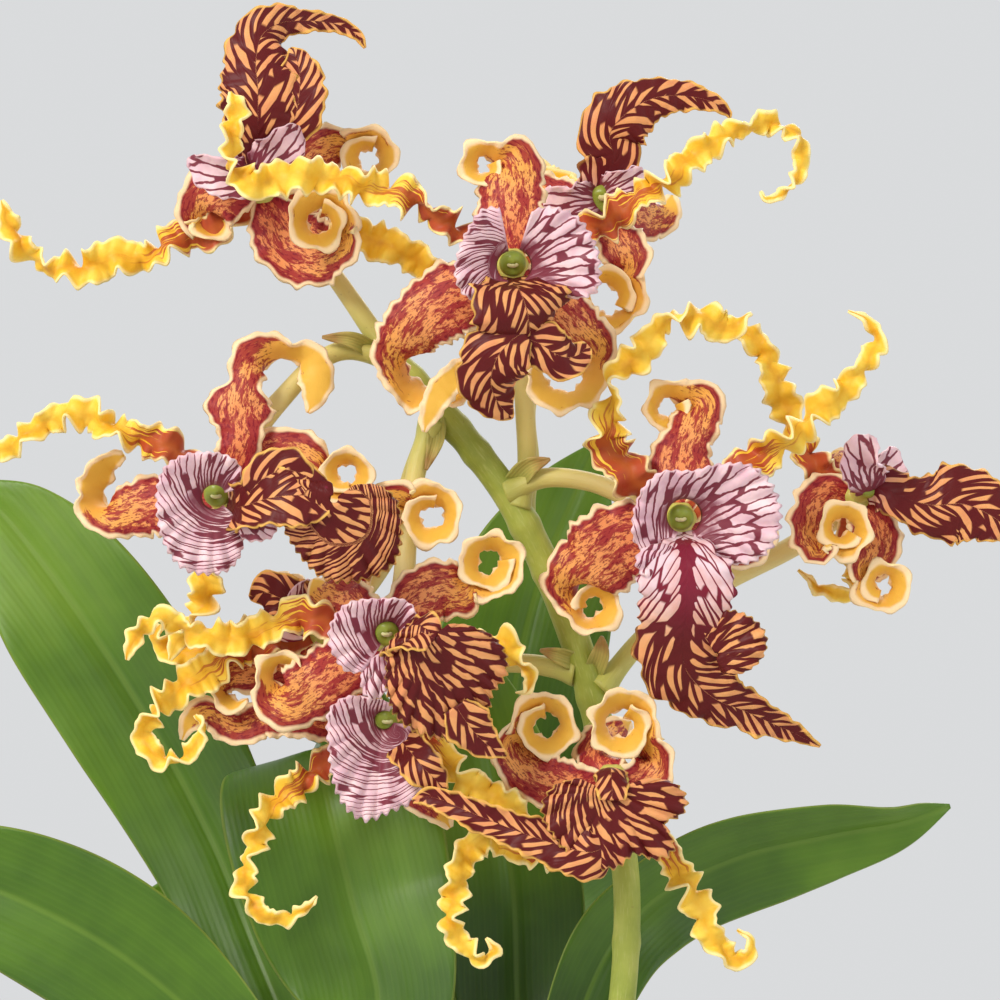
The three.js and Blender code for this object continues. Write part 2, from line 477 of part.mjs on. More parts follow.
        [894, 456, -11, 2.6, 20, 30], [898, 450, -12, 0.8, 20, 0]] },
    ],
  },
  behind_left: {
    heart: [322, 630, -6],
    front: [306, 620, 4],
    stem: [[430, 428, -5, 2], [410, 480, -11, 1.9], [398, 535, -16, 1.9], [362, 592, -15, 1.9]],
    sepals: [
      { rows: [[328, 622, -7, 2.5, 0, 0], [345, 582, -9, 5, 0, -20], [364, 532, -1, 5, 0, -30],
        [390, 500, 10, 4.4, 30, -10]], scroll: [430, 517, 24, 140, -430, 3.8] },
      { rows: [[316, 622, -8, 2.5, 0, 0], [298, 602, -14, 4.6, 0, -20], [278, 588, -18, 4, 0, -30],
        [262, 582, -20, 1, 0, 0]] },
      { rows: [[318, 638, -6, 2.5, 0, 0], [290, 662, -4, 4.6, 0, -10], [255, 672, -2, 4.8, 0, -30],
        [230, 674, 0, 4.2, -30, -20], [218, 690, 2, 3.4, -54, 0], [233, 706, 3, 2.4, -54, -22],
        [248, 700, 4, 0.6, -54, -22]] },
    ],
    petals: [
      [[316, 634, -6, 2.2, 0, 0], [280, 645, -1, 3, 0, 0], [245, 650, 3, 3.5, 0, 10],
        [212, 668, 5, 3.7, 20, 10], [182, 690, 6, 3.9, 0, 10], [152, 712, 7, 2.8, -40, 0],
        [144, 738, 7, 2.5, -50, 0], [162, 760, 8, 2.4, -40, 0], [190, 752, 9, 2, -50, 0],
        [203, 730, 10, 1.6, -50, 0], [195, 715, 10, 0.4, 0, 0]],
      [[314, 628, -8, 2.2, 0, 0], [280, 634, -6, 3, 0, 0], [240, 640, -4, 3.5, 20, 10],
        [205, 652, -4, 3.5, -20, 10], [175, 650, -3, 3.5, 20, 10], [158, 638, -3, 2.5, 0, 0],
        [160, 624, -3, 0.5, 0, 0]],
    ],
    lip: [
      { rows: [[310, 622, -1, 3, 0, 30], [300, 618, 0, 6, 0, 40], [288, 604, 0, 6, 0, 30],
        [274, 595, 0, 5, 0, 0], [262, 593, 0, 4, 0, -20], [250, 598, -1, 0.6, 0, 0]] },
      { ear: true, rows: [[304, 620, 0, 3, 0, 0], [304, 608, 0, 4.4, 0, 30], [308, 597, 0, 4, 20, 40],
        [314, 589, -2, 2.6, 20, 30], [318, 584, -4, 0.8, 20, 0]] },
    ],
  },
  centre_left: {
    heart: [386, 636, 18],
    front: [388, 632, 40],
    stem: [[432, 424, -3, 2.2], [417, 468, 0, 2], [408, 530, 4, 1.9], [402, 590, 8, 1.9]],
    sepals: [
      { rows: [[380, 630, 18, 2.5, 0, 0], [358, 610, 16, 5, 0, -30], [338, 598, 11, 5.6, 0, -50],
        [322, 592, 7, 4.4, 0, -40], [314, 580, 3, 1, 0, 0]] },
      { rows: [[392, 630, 18, 2.5, 0, 0], [412, 602, 17, 5.5, 0, -30], [438, 590, 15, 6.5, 0, -30],
        [462, 590, 13, 5.5, -20, -10]], scroll: [489, 564, 25, 235, 500, 4] },
      { rows: [[378, 644, 18, 2.5, 0, 0], [350, 662, 15, 6, 0, -20], [320, 682, 13, 7, 0, -30],
        [292, 700, 12, 6.4, 0, -20], [273, 697, 10, 5, 20, -10]], scroll: [283, 674, 18, 215, -290, 3.4] },
    ],
    petals: [
      [[378, 636, 18, 2.2, 0, 0], [335, 624, 14, 3, 0, 0], [300, 615, 12, 3.7, 10, 10],
        [262, 630, 12, 3.5, 0, 10], [225, 640, 12, 3.3, 30, 10], [190, 634, 12, 3, -30, 0],
        [165, 618, 13, 2.3, 0, 0], [143, 628, 14, 2.2, 0, -10], [131, 648, 14, 1.4, 0, 0],
        [127, 660, 14, 0.4, 0, 0]],
      [[396, 644, 17, 2.2, 0, 0], [440, 662, 18, 3, 0, 0], [480, 646, 20, 3.2, 0, 0],
        [503, 642, 21, 3.2, 0, 10], [516, 660, 21, 2.4, 20, 0], [530, 674, 20, 1.6, 0, 0],
        [527, 689, 19, 0.9, 0, 0], [516, 693, 18, 0.3, 0, 0]],
    ],
    lip: [
      { droop: -40, rows: [[394, 641, 24, 3.5, 0, 30], [400, 643, 29, 4.4, 0, 30],
        [409, 638, 34, 5, 0, 30], [422, 634, 37, 5, 0, 20], [434, 640, 38, 3, 0, -20]] },
      { about: [434, 634, 38], hole: 4, rim: [[150, 16, 36], [180, 38, 35], [198, 50, 34],
        [214, 58, 33], [232, 76, 32], [246, 92, 31], [260, 100, 30], [274, 106, 29], [288, 110, 28],
        [300, 104, 29], [314, 84, 31], [328, 84, 31], [343, 76, 32], [356, 62, 33], [370, 40, 34],
        [390, 18, 36]] },
      { rows: [[456, 706, 32, 3, 0, 0], [468, 724, 31, 4.6, 0, 0], [484, 742, 29, 3.4, 0, 0],
        [506, 756, 27, 0.5, 0, 0]] },
      { about: [388, 634, 26], hole: 12, rim: [[10, 22, 29], [40, 36, 31], [66, 38, 32], [92, 36, 33],
        [118, 40, 33], [145, 52, 32], [168, 58, 31], [188, 60, 30], [206, 58, 29], [222, 56, 28],
        [236, 46, 27]] },
      { about: [392, 648, 27], hole: 4, rim: [[205, 30, 27], [222, 42, 27], [238, 54, 27],
        [252, 54, 27], [266, 40, 27]] },
    ],
  },
  low_left: {
    heart: [390, 722, 4],
    front: [384, 722, 24],
    stem: [[575, 672, -4, 2.2], [530, 664, -5, 2], [490, 666, -5, 1.9], [440, 690, -4, 1.9]],
    sepals: [
      { rows: [[384, 718, 4, 2.5, 0, 0], [356, 704, 2, 4.6, 0, -20], [328, 696, -1, 4.6, 0, -30],
        [306, 700, -4, 3.6, 0, -20], [292, 712, -6, 1, 0, 0]] },
      { rows: [[384, 726, 3, 2.5, 0, 0], [350, 730, 1, 3.6, 0, -10], [310, 722, 0, 3.6, 20, 0],
        [268, 718, 0, 4, 0, 10], [238, 728, 0, 3.8, 20, 0], [208, 712, 1, 3.4, -20, 0],
        [190, 722, 1, 2.4, 0, 0], [182, 740, 1, 0.5, 0, 0]] },
      { rows: [[392, 730, 3, 2.5, 0, 0], [404, 770, 0, 4.6, 0, -20], [424, 795, -2, 4.6, 0, -30],
        [440, 812, -2, 3, 0, 0], [450, 828, -2, 0.8, 0, 0]] },
    ],
    petals: [
      [[386, 730, 3, 2.2, 0, 0], [355, 746, 2, 2.6, 0, 0], [325, 762, 2, 3, 0, 0],
        [300, 782, 4, 3.5, 10, 10], [275, 802, 6, 3.3, 0, 0], [258, 830, 7, 3, -30, 0],
        [250, 860, 8, 2.5, 30, 0], [246, 888, 9, 2.4, -10, -10], [262, 914, 10, 2, 0, -20],
        [288, 918, 11, 1.8, 0, -20], [308, 906, 11, 1, 0, 0], [317, 896, 11, 0.3, 0, 0]],
      [[396, 724, 4, 2.2, 0, 0], [420, 738, 8, 2.8, 0, 0], [440, 754, 12, 3.2, 20, 0],
        [456, 774, 14, 3.2, -10, 0], [480, 790, 15, 3.3, 20, 0], [508, 802, 15, 2.8, -10, 0],
        [530, 818, 14, 0.5, 0, 0]],
    ],
    lip: [
      { rows: [[398, 734, 9, 3, 0, 30], [404, 744, 14, 4, 0, 30], [414, 756, 18, 4.4, 0, 30],
        [424, 768, 20, 4, 0, 20], [436, 780, 20, 3, 0, -10], [446, 790, 20, 0.6, 0, 0]] },
      { about: [384, 720, 12], hole: 9, rim: [[60, 18, 15], [95, 20, 17], [125, 28, 18], [150, 46, 18],
        [170, 56, 18], [188, 58, 18], [206, 62, 19], [224, 74, 19], [240, 90, 18], [252, 100, 17],
        [261, 102, 16], [274, 92, 17], [290, 86, 17], [306, 72, 16], [324, 50, 15], [345, 26, 13]] },
    ],
  },
  low_front: {
    heart: [612, 780, 17],
    front: [611, 810, 25],
    stem: [[600, 728, -2, 2.2], [602, 745, 1, 1.9], [606, 762, 6, 1.9]],
    sepals: [
      { rows: [[611, 778, 17, 2.5, 0, 0], [603, 762, 16, 5.5, 0, -50], [604, 748, 11, 6, 0, -60],
        [612, 738, 5, 5, 0, -50], [622, 728, 0, 3, 0, -30], [630, 722, -4, 0.8, 0, 0]] },
      { rows: [[604, 782, 17, 2.5, 0, 0], [575, 786, 16, 5, 0, 0], [545, 780, 14, 5.5, 0, -20],
        [520, 762, 12, 5.6, 20, -10], [511, 742, 12, 5, 45, 0]], scroll: [545, 727, 25, 200, -470, 4] },
      { rows: [[619, 780, 17, 2.5, 0, 0], [641, 778, 15, 5, 0, 0], [656, 762, 14, 5, -40, 0]],
        scroll: [622, 726, 27, -30, 460, 4] },
    ],
    petals: [
      [[606, 788, 16, 2.2, 0, 0], [592, 820, 13, 2.8, 0, 0], [560, 856, 12, 3, 0, 0],
        [520, 850, 13, 2.8, 30, 0], [485, 840, 14, 3, -20, 0], [462, 862, 15, 3, 20, 0],
        [455, 890, 16, 3, -30, 0], [450, 916, 17, 2.6, 30, 0], [462, 943, 17, 2.2, 0, -10],
        [482, 960, 17, 1.8, 0, -10], [494, 950, 16, 1.2, 0, 0], [486, 938, 16, 0.3, 0, 0]],
      [[618, 788, 16, 2.2, 0, 0], [648, 825, 14, 2.8, 0, 0], [668, 852, 15, 2.6, 30, 0],
        [682, 880, 16, 3, -30, 0], [698, 905, 17, 3.5, 20, 0], [710, 932, 18, 3, -20, 0],
        [728, 955, 18, 2.3, 0, 0], [746, 958, 17, 1.8, 0, 0], [751, 940, 16, 1, 0, 0],
        [737, 930, 16, 0.3, 0, 0]],
    ],
    lip: [
      { about: [612, 792, 31], hole: 3, rim: [[20, 40, 30], [6, 66, 30], [-8, 76, 30], [-20, 72, 31],
        [-30, 62, 33], [-42, 84, 32], [-56, 82, 31], [-70, 66, 32], [-86, 76, 31], [-104, 78, 30],
        [-122, 76, 29], [-140, 74, 30], [-158, 74, 30], [-172, 70, 31], [-186, 58, 31], [-200, 38, 31]] },
      { rows: [[606, 846, 30, 4, 0, -20], [590, 852, 31, 6, 0, -35], [562, 846, 28, 5, 0, 20],
        [520, 832, 26, 4, 0, 40], [470, 812, 24, 3.4, 0, 50], [432, 797, 22, 2.2, 0, 40],
        [413, 801, 21, 0.5, 0, 0]] },
      { droop: -90, rows: [[612, 778, 20.4, 2.4, 0, -20], [611, 770, 24, 3.4, 0, -40],
        [611, 772, 29, 3.6, 0, -50], [612, 786, 32, 3.4, 0, -30], [612, 800, 33, 2.6, 0, 0]] },
    ],
  },
};

// The flower stalk, up from the side of the second cane, and the small bracts under its stems.
const STALK = [[532, 1262, -20, 2.6], [572, 1180, -13, 2.8], [606, 1085, -4, 2.8], [622, 1000, 0, 2.7],
  [627, 900, 0, 2.7], [618, 820, -3, 2.8], [598, 722, -4, 3], [580, 655, -4, 3.1], [556, 590, -4, 3.1],
  [530, 535, -4, 3.1], [503, 488, -4, 3], [466, 440, -4, 2.9], [428, 396, -4, 2.8], [394, 360, -4, 2.6],
  [384, 349, -4, 2.2]];
const BRACTS = [
  [[374, 352, -4, 1.8, 0, 0], [352, 340, 1, 1.7, 0, 20], [322, 337, 2, 0.3, 0, 0]],
  [[432, 404, -4, 1.8, 0, 0], [436, 436, -1, 2, 0, 20], [426, 470, 2, 0.3, 0, 0]],
  [[508, 490, -4, 2, 0, 0], [528, 468, 0, 2.2, 0, 20], [550, 459, 3, 0.3, 0, 0]],
  [[590, 680, -4, 2, 0, 0], [600, 654, -1, 2, 0, 20], [602, 636, 0, 0.3, 0, 0]],
  [[582, 664, -4, 1.8, 0, 0], [560, 656, -1, 1.8, 0, 20], [540, 650, 1, 0.3, 0, 0]],
];

// The canes, each from its foot [x, y] in mm to its top in the front view. The front one bears the
// first four leaves, the right one the next two and the back one the last three.
const CANES = {
  front: { foot: [-26, -14], top: [338, 1110, -6], radius: 8.5 },
  right: { foot: [14, 2], top: [530, 1130, -22], radius: 9 },
  back: { foot: [-8, 30], top: [462, 1120, -58], radius: 8 },
  old: { foot: [34, 26], top: [640, 1280, -46], radius: 7 },
};
const LEAVES = {
  left_tall: [[336, 1142, -8, 4, 0, 40], [262, 965, -28, 11, 0, 20], [212, 840, -36, 14.5, 0, 12],
    [145, 715, -40, 17, 0, 12], [72, 603, -43, 16.5, 0, 12], [14, 526, -46, 11, 0, 10],
    [-30, 480, -48, 0.6, 0, 0]],
  left_low: [[338, 1175, -3, 4, 0, 40], [232, 1052, 2, 11, 0, 25], [130, 962, 3, 15, 0, 15],
    [30, 905, 2, 14.5, 0, 15], [-60, 872, 0, 10, 0, 10], [-130, 858, -3, 0.6, 0, 0]],
  folded: [[339, 1190, -5, 4, 0, 40], [310, 1040, -42, 8, 0, 30], [245, 918, -50, 8, 0, 20],
    [192, 892, -50, 5, 0, 0], [143, 895, -48, 0.6, 0, 0]],
  broad: [[338, 1114, -4, 5, 0, 40], [378, 1010, -6, 15, 0, 20], [352, 900, -11, 21, 0, 14],
    [328, 800, -15, 22, 0, 8], [320, 752, -26, 19, 0, 0], [320, 742, -42, 13, 0, 0],
    [322, 746, -58, 0.6, 0, 0]],
  upright: [[529, 1134, -24, 5, 0, 40], [518, 1010, -34, 13, 0, 25], [514, 900, -36, 15, 0, 20],
    [500, 800, -39, 13.5, 0, 20], [478, 705, -42, 9, 0, 10], [458, 630, -48, 0.6, 0, 0]],
  right_long: [[530, 1182, -20, 4, 0, 40], [592, 985, -16, 9.5, 12, 30], [650, 905, -20, 11, 20, 32],
    [735, 860, -24, 12, 26, 34], [825, 838, -27, 10, 30, 30], [900, 824, -29, 5.5, 30, 20],
    [950, 806, -32, 0.5, 0, 0]],
  back_tall: [[462, 1124, -58, 5, 0, 40], [490, 950, -66, 14, 0, 20], [502, 800, -70, 18, 0, 14],
    [516, 680, -74, 19, 0, 10], [540, 580, -77, 17, 0, 10], [572, 500, -80, 10, 0, 10],
    [600, 440, -82, 0.6, 0, 0]],
  back_left: [[462, 1165, -60, 4, 0, 40], [405, 1010, -96, 12, 20, 25], [360, 930, -124, 14, 30, 20],
    [320, 890, -150, 11, 30, 15], [290, 885, -172, 0.6, 0, 0]],
  back_right: [[462, 1205, -60, 4, 0, 40], [540, 1000, -92, 12, -20, 25], [610, 920, -116, 14, -30, 20],
    [680, 880, -138, 11, -30, 15], [735, 872, -156, 0.6, 0, 0]],
};

function material(colour, roughness) {
  return new THREE.MeshStandardMaterial({ color: colour, roughness, metalness: 0, side: THREE.DoubleSide });
}

const CLAY = material("#a65f3f", 0.85);
const BARK = material("#4a2f1e", 0.95);
const CANE_GREEN = material("#8a8b3a", 0.6);
const LEAF_GREEN = material("#3f6a12", 0.4);
const STALK_GREEN = material("#a9a23f", 0.5);
const PETAL_YELLOW = material("#e0a93a", 0.5);
const LIP_MAROON = material("#5a1020", 0.5);

const plant = new THREE.Group();

function addNode(name, geometry, look) {
  const mesh = new THREE.Mesh(geometry, look);
  mesh.name = name;
  plant.add(mesh);
}

// A turned clay pot with a banded rim.
function pot() {
  const inside = POT_TOP_RADIUS - POT_WALL;
  const floorInside = POT_FOOT_RADIUS - POT_WALL;
  const band = POT_HEIGHT - RIM_HEIGHT;
  const underRim = POT_TOP_RADIUS - RIM_PROUD;
  const profile = [
    [0, 0],
    [POT_FOOT_RADIUS, 0],
    [underRim, band],
    [POT_TOP_RADIUS, band + BEVEL],
    [POT_TOP_RADIUS + RIM_PROUD, POT_HEIGHT - BEVEL],
    [POT_TOP_RADIUS + RIM_PROUD - BEVEL, POT_HEIGHT],
    [inside + BEVEL, POT_HEIGHT],
    [inside, POT_HEIGHT - BEVEL],
    [floorInside, POT_WALL],
    [0, POT_WALL],
  ];
  const points = profile.map(([r, z]) => new THREE.Vector2(r, z));
  return new THREE.LatheGeometry(points, POT_SIDES).rotateX(Math.PI / 2);
}

// How high the bark stands at a distance and an angle from the pot's axis.
function barkHeight(radius, turn) {
  const lumps = Math.sin(0.21 * radius + 3 * turn) * Math.cos(0.17 * radius - 2 * turn);
  return POT_HEIGHT - BARK_BELOW_RIM + BARK_LUMP * lumps;
}

// The bark that fills the pot, one solid with a lumpy top.
function bark() {
  const slope = (POT_TOP_RADIUS - POT_FOOT_RADIUS) / (POT_HEIGHT - POT_WALL);
  const wide = POT_TOP_RADIUS - POT_WALL - slope * BARK_BELOW_RIM - 2 * GAP;
  const narrow = POT_FOOT_RADIUS - POT_WALL - 2 * GAP;
  const shoulder = POT_HEIGHT - BARK_BELOW_RIM - BARK_LUMP;
  const ringAt = (radius, height) =>
    Array.from({ length: POT_SIDES }, (_, i) => {
      const turn = (2 * Math.PI * i) / POT_SIDES;
      return new THREE.Vector3(radius * Math.cos(turn), radius * Math.sin(turn), height(radius, turn));
    });
  const rings = [ringAt(narrow, () => POT_WALL + GAP), ringAt(wide, () => shoulder)];
  for (let i = 0; i < BARK_RINGS; i++) rings.push(ringAt(0.985 * wide * (1 - i / BARK_RINGS), barkHeight));
  return solidOf(loft(rings));
}

// A jointed cane, upright out of the bark, swollen in the middle and pinched at every other ring.
// It is "more" mm thicker where other pieces have to clear it.
function cane({ foot: [x, y], top, radius }, more = 0) {
  const end = seen(...top);
  const start = new THREE.Vector3(x, y, POT_HEIGHT - BARK_BELOW_RIM - CANE_SUNK);
  const bend = new THREE.Vector3(x, y, POT_HEIGHT + CANE_UPRIGHT);
  const line = new THREE.QuadraticBezierCurve3(start, bend, end);
  const count = 2 * CANE_JOINTS;
  const rings = [];
  for (let i = 0; i <= count; i++) {
    const t = i / count;
    const last = i === count;
    const swell = 0.45 + 0.55 * Math.sin(Math.PI * (0.12 + 0.8 * t));
    const pinch = i % 2 === 0 ? 1 : 0.9;
    const size = (radius * swell * pinch + more) * (last ? 0.6 : 1);
    const along = line.getTangent(t);
    const side = new THREE.Vector3(1, 0, 0).addScaledVector(along, -along.x).normalize();
    const front = side.clone().cross(along);
    const place = line.getPoint(t).addScaledVector(along, last ? more : 0);
    rings.push(round(place, side, front, size, CANE_SIDES));
  }
  return solidOf(loft(rings));
}

function ball(centre, radius) {
  return solidOf(new THREE.SphereGeometry(radius, 8, 4).translate(centre.x, centre.y, centre.z));
}

// A flower's stem, which runs on into the back of its heart.
function stem({ heart, stem: rows }, more = 0) {
  const [x, y, out] = heart;
  return stalk([...rows, [x, y, out - STEM_BEHIND, STEM_TIP_RADIUS]], more);
}

// The flower's column: a blunt peg from the heart towards the front.
function column({ heart, front }, more = 0) {
  const start = seen(...heart);
  const aim = seen(...front).sub(start).normalize();
  const length = COLUMN_LENGTH + more;
  const body = new THREE.CylinderGeometry(COLUMN_RADIUS * 0.8 + more, COLUMN_RADIUS + more, length, 6);
  body.translate(0, length / 2, 0);
  body.applyQuaternion(new THREE.Quaternion().setFromUnitVectors(new THREE.Vector3(0, 1, 0), aim));
  return solidOf(body.translate(start.x, start.y, start.z));
}

addNode("pot", pot(), CLAY);

const caneGrown = joined(Object.values(CANES).map((one) => cane(one, GAP)));
addNode("bark", geometryOf(largest(bark().subtract(caneGrown))), BARK);
for (const [name, one] of Object.entries(CANES)) addNode(`cane_${name}`, geometryOf(cane(one)), CANE_GREEN);
for (const [name, rows] of Object.entries(LEAVES)) {
  addNode(`leaf_${name}`, geometryOf(largest(blade({ rows }, LEAF).subtract(caneGrown))), LEAF_GREEN);
}

// The stalk with all its flower stems and bracts is one piece.
const stems = Object.values(FLOWERS).map((flower) => stem(flower));
const bracts = BRACTS.map((rows) => blade({ rows }, BRACT));
const spray = joined([stalk(STALK), ...stems, ...bracts]);
addNode("flower_stalk", geometryOf(largest(spray.subtract(caneGrown))), STALK_GREEN);

for (const [name, flower] of Object.entries(FLOWERS)) {
  const heart = seen(...flower.heart);
  const sepals = flower.sepals.map((shape) => blade(sepal(shape), SEPAL));
  const petals = flower.petals.map((rows) => blade({ rows }, PETAL));
  const whole = joined([ball(heart, HUB_RADIUS), column(flower), ...sepals, ...petals]);
  const stemGrown = stem(flower, GAP);
  addNode(`flower_${name}`, geometryOf(largest(whole.subtract(stemGrown))), PETAL_YELLOW);
  const lobes = flower.lip.map((one) => (one.rim ? collar(one) : blade(one, one.ear ? EAR : LIP)));
  const lip = joined(lobes);
  const heartGrown = ball(heart, HUB_RADIUS + GAP).add(column(flower, GAP));
  addNode(`lip_${name}`, geometryOf(largest(lip.subtract(heartGrown))), LIP_MAROON);
}

export default plant;
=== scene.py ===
# A potted orchid in flower, dressed over its solids. Metres, with +Z up and the viewer on the -Y side.
import math
import random

import bpy
import numpy as np
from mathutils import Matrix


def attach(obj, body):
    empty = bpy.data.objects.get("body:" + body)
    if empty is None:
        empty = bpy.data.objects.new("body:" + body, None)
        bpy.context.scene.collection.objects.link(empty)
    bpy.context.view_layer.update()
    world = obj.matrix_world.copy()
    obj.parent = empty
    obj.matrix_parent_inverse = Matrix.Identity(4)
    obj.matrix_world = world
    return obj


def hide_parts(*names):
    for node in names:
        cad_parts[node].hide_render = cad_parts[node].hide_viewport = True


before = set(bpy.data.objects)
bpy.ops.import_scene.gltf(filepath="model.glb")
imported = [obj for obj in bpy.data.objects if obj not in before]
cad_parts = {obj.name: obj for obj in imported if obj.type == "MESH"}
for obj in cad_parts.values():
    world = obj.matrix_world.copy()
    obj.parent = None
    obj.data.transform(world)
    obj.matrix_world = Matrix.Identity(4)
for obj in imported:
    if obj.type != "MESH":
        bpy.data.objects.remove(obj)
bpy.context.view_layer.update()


# The view. The spray is laid out on the front view that the solids use: a square of 1000 units a
# side, with y running down, seen level from VIEW_DISTANCE in front of the stalk. One unit is UNIT
# metres at the stalk, and "out" is how many millimetres a place lies nearer to the viewer.
UNIT = 0.0002
VIEW_DISTANCE = 0.8
VIEW_CENTRE_X = 0.002
VIEW_CENTRE_Z = 0.425
VIEW_MIDDLE = 500
TO_VIEWER = np.array((0.0, -1.0, 0.0))
MM_PER_METRE = 1000


def seen(x, y, out):
    nearer = out / MM_PER_METRE
    scale = UNIT * (VIEW_DISTANCE - nearer) / VIEW_DISTANCE
    return (
        VIEW_CENTRE_X + (x - VIEW_MIDDLE) * scale,
        -nearer,
        VIEW_CENTRE_Z + (VIEW_MIDDLE - y) * scale,
    )


lens = bpy.data.cameras.new("camera")
lens.sensor_width = 36
lens.lens = lens.sensor_width * VIEW_DISTANCE / (2 * VIEW_MIDDLE * UNIT)
lens.clip_start = 0.05
lens.clip_end = 50
camera = bpy.data.objects.new("camera", lens)
camera.location = (VIEW_CENTRE_X, -VIEW_DISTANCE, VIEW_CENTRE_Z)
camera.rotation_euler = (math.pi / 2, 0, 0)
bpy.context.scene.collection.objects.link(camera)
bpy.context.scene.camera = camera


# The studio. Wide soft lamps stand round the plant: the main one high on the left, a weaker one
# on the right, and one behind that lights the petals' edges. The floor is pale and plain.
def lamp(name, place, aim, size, power, tint):
    light = bpy.data.lights.new(name, "AREA")
    light.shape = "DISK"
    light.size = size
    light.energy = power
    light.color = tint
    holder = bpy.data.objects.new(name, light)
    holder.location = place
    direction = np.array(aim) - np.array(place)
    holder.rotation_euler = (
        math.atan2(math.hypot(direction[0], direction[1]), -direction[2]),
        0,
        math.atan2(direction[1], direction[0]) - math.pi / 2,
    )
    bpy.context.scene.collection.objects.link(holder)


lamp("main_lamp", (-0.75, -0.95, 1.15), (0, 0, 0.38), 0.6, 16, (1.0, 0.97, 0.92))
lamp("right_lamp", (1.1, -0.9, 0.7), (0, 0, 0.38), 0.9, 3.5, (0.93, 0.96, 1.0))
lamp("back_lamp", (0.35, 1.1, 1.15), (0, 0, 0.42), 0.7, 7, (1.0, 0.98, 0.95))

world = bpy.data.worlds.new("studio")
world.use_nodes = True
world.node_tree.nodes["Background"].inputs["Color"].default_value = (0.97, 0.985, 1.0, 1)
world.node_tree.nodes["Background"].inputs["Strength"].default_value = 0.72
bpy.context.scene.world = world
bpy.context.scene.view_settings.view_transform = "Standard"
bpy.context.scene.view_settings.look = "None"


# The pot. A turned clay flowerpot, fired and unglazed, with a band round its rim and a wall about
# 5 mm thick. Soft bevels, a pale bloom of salts and fine wheel lines are what turning leaves.
POT_HEIGHT = 0.125
POT_TOP_RADIUS = 0.078
POT_FOOT_RADIUS = 0.056
POT_WALL = 0.005
RIM_HEIGHT = 0.022
RIM_PROUD = 0.004
RIM_STEP = 0.001
POT_BEVEL = 0.0012
POT_CENTRE = 0.02
POT_ROUND = 144
# The "size" layer that finishes read holds places in units of this many millimetres.
SIZE_MM = 100
SIZE_PER_METRE = MM_PER_METRE / SIZE_MM


def rgb(red, green, blue):
    """A colour as it looks on a screen, 0 to 255, for a shader's socket."""
    levels = [value / 255 for value in (red, green, blue)]
    linear = [((v + 0.055) / 1.055) ** 2.4 if v > 0.04045 else v / 12.92 for v in levels]
    return (*linear, 1)


class Wire:
    """A value in a material. Python arithmetic on it adds Math nodes."""

    def __init__(self, finish, socket):
        self.finish = finish
        self.socket = socket

    def math(self, operation, *values):
        return self.finish.add("Math", {"operation": operation}, dict(enumerate(values)))

    def __add__(self, other):
        return self.math("ADD", self, other)

    def __radd__(self, other):
        return self.math("ADD", other, self)

    def __sub__(self, other):
        return self.math("SUBTRACT", self, other)

    def __rsub__(self, other):
        return self.math("SUBTRACT", other, self)

    def __mul__(self, other):
        return self.math("MULTIPLY", self, other)

    def __rmul__(self, other):
        return self.math("MULTIPLY", other, self)

    def __truediv__(self, other):
        return self.math("DIVIDE", self, other)

    def __rtruediv__(self, other):
        return self.math("DIVIDE", other, self)

    def __pow__(self, other):
        return self.math("POWER", self, other)

    def __abs__(self):
        return self.math("ABSOLUTE", self)

    def least(self, other):
        return self.math("MINIMUM", self, other)

    def most(self, other):
        return self.math("MAXIMUM", self, other)

    def waves(self):
        """Waves from 0 to 1, one to every 2 pi of the value."""
        return self.math("SINE", self) * 0.5 + 0.5

    def smooth(self, low, high):
        """0 below low and 1 above high, eased between them."""
        span = {0: self, 1: low, 2: high, 3: 0, 4: 1}
        return self.finish.add("MapRange", {"interpolation_type": "SMOOTHSTEP"}, span)


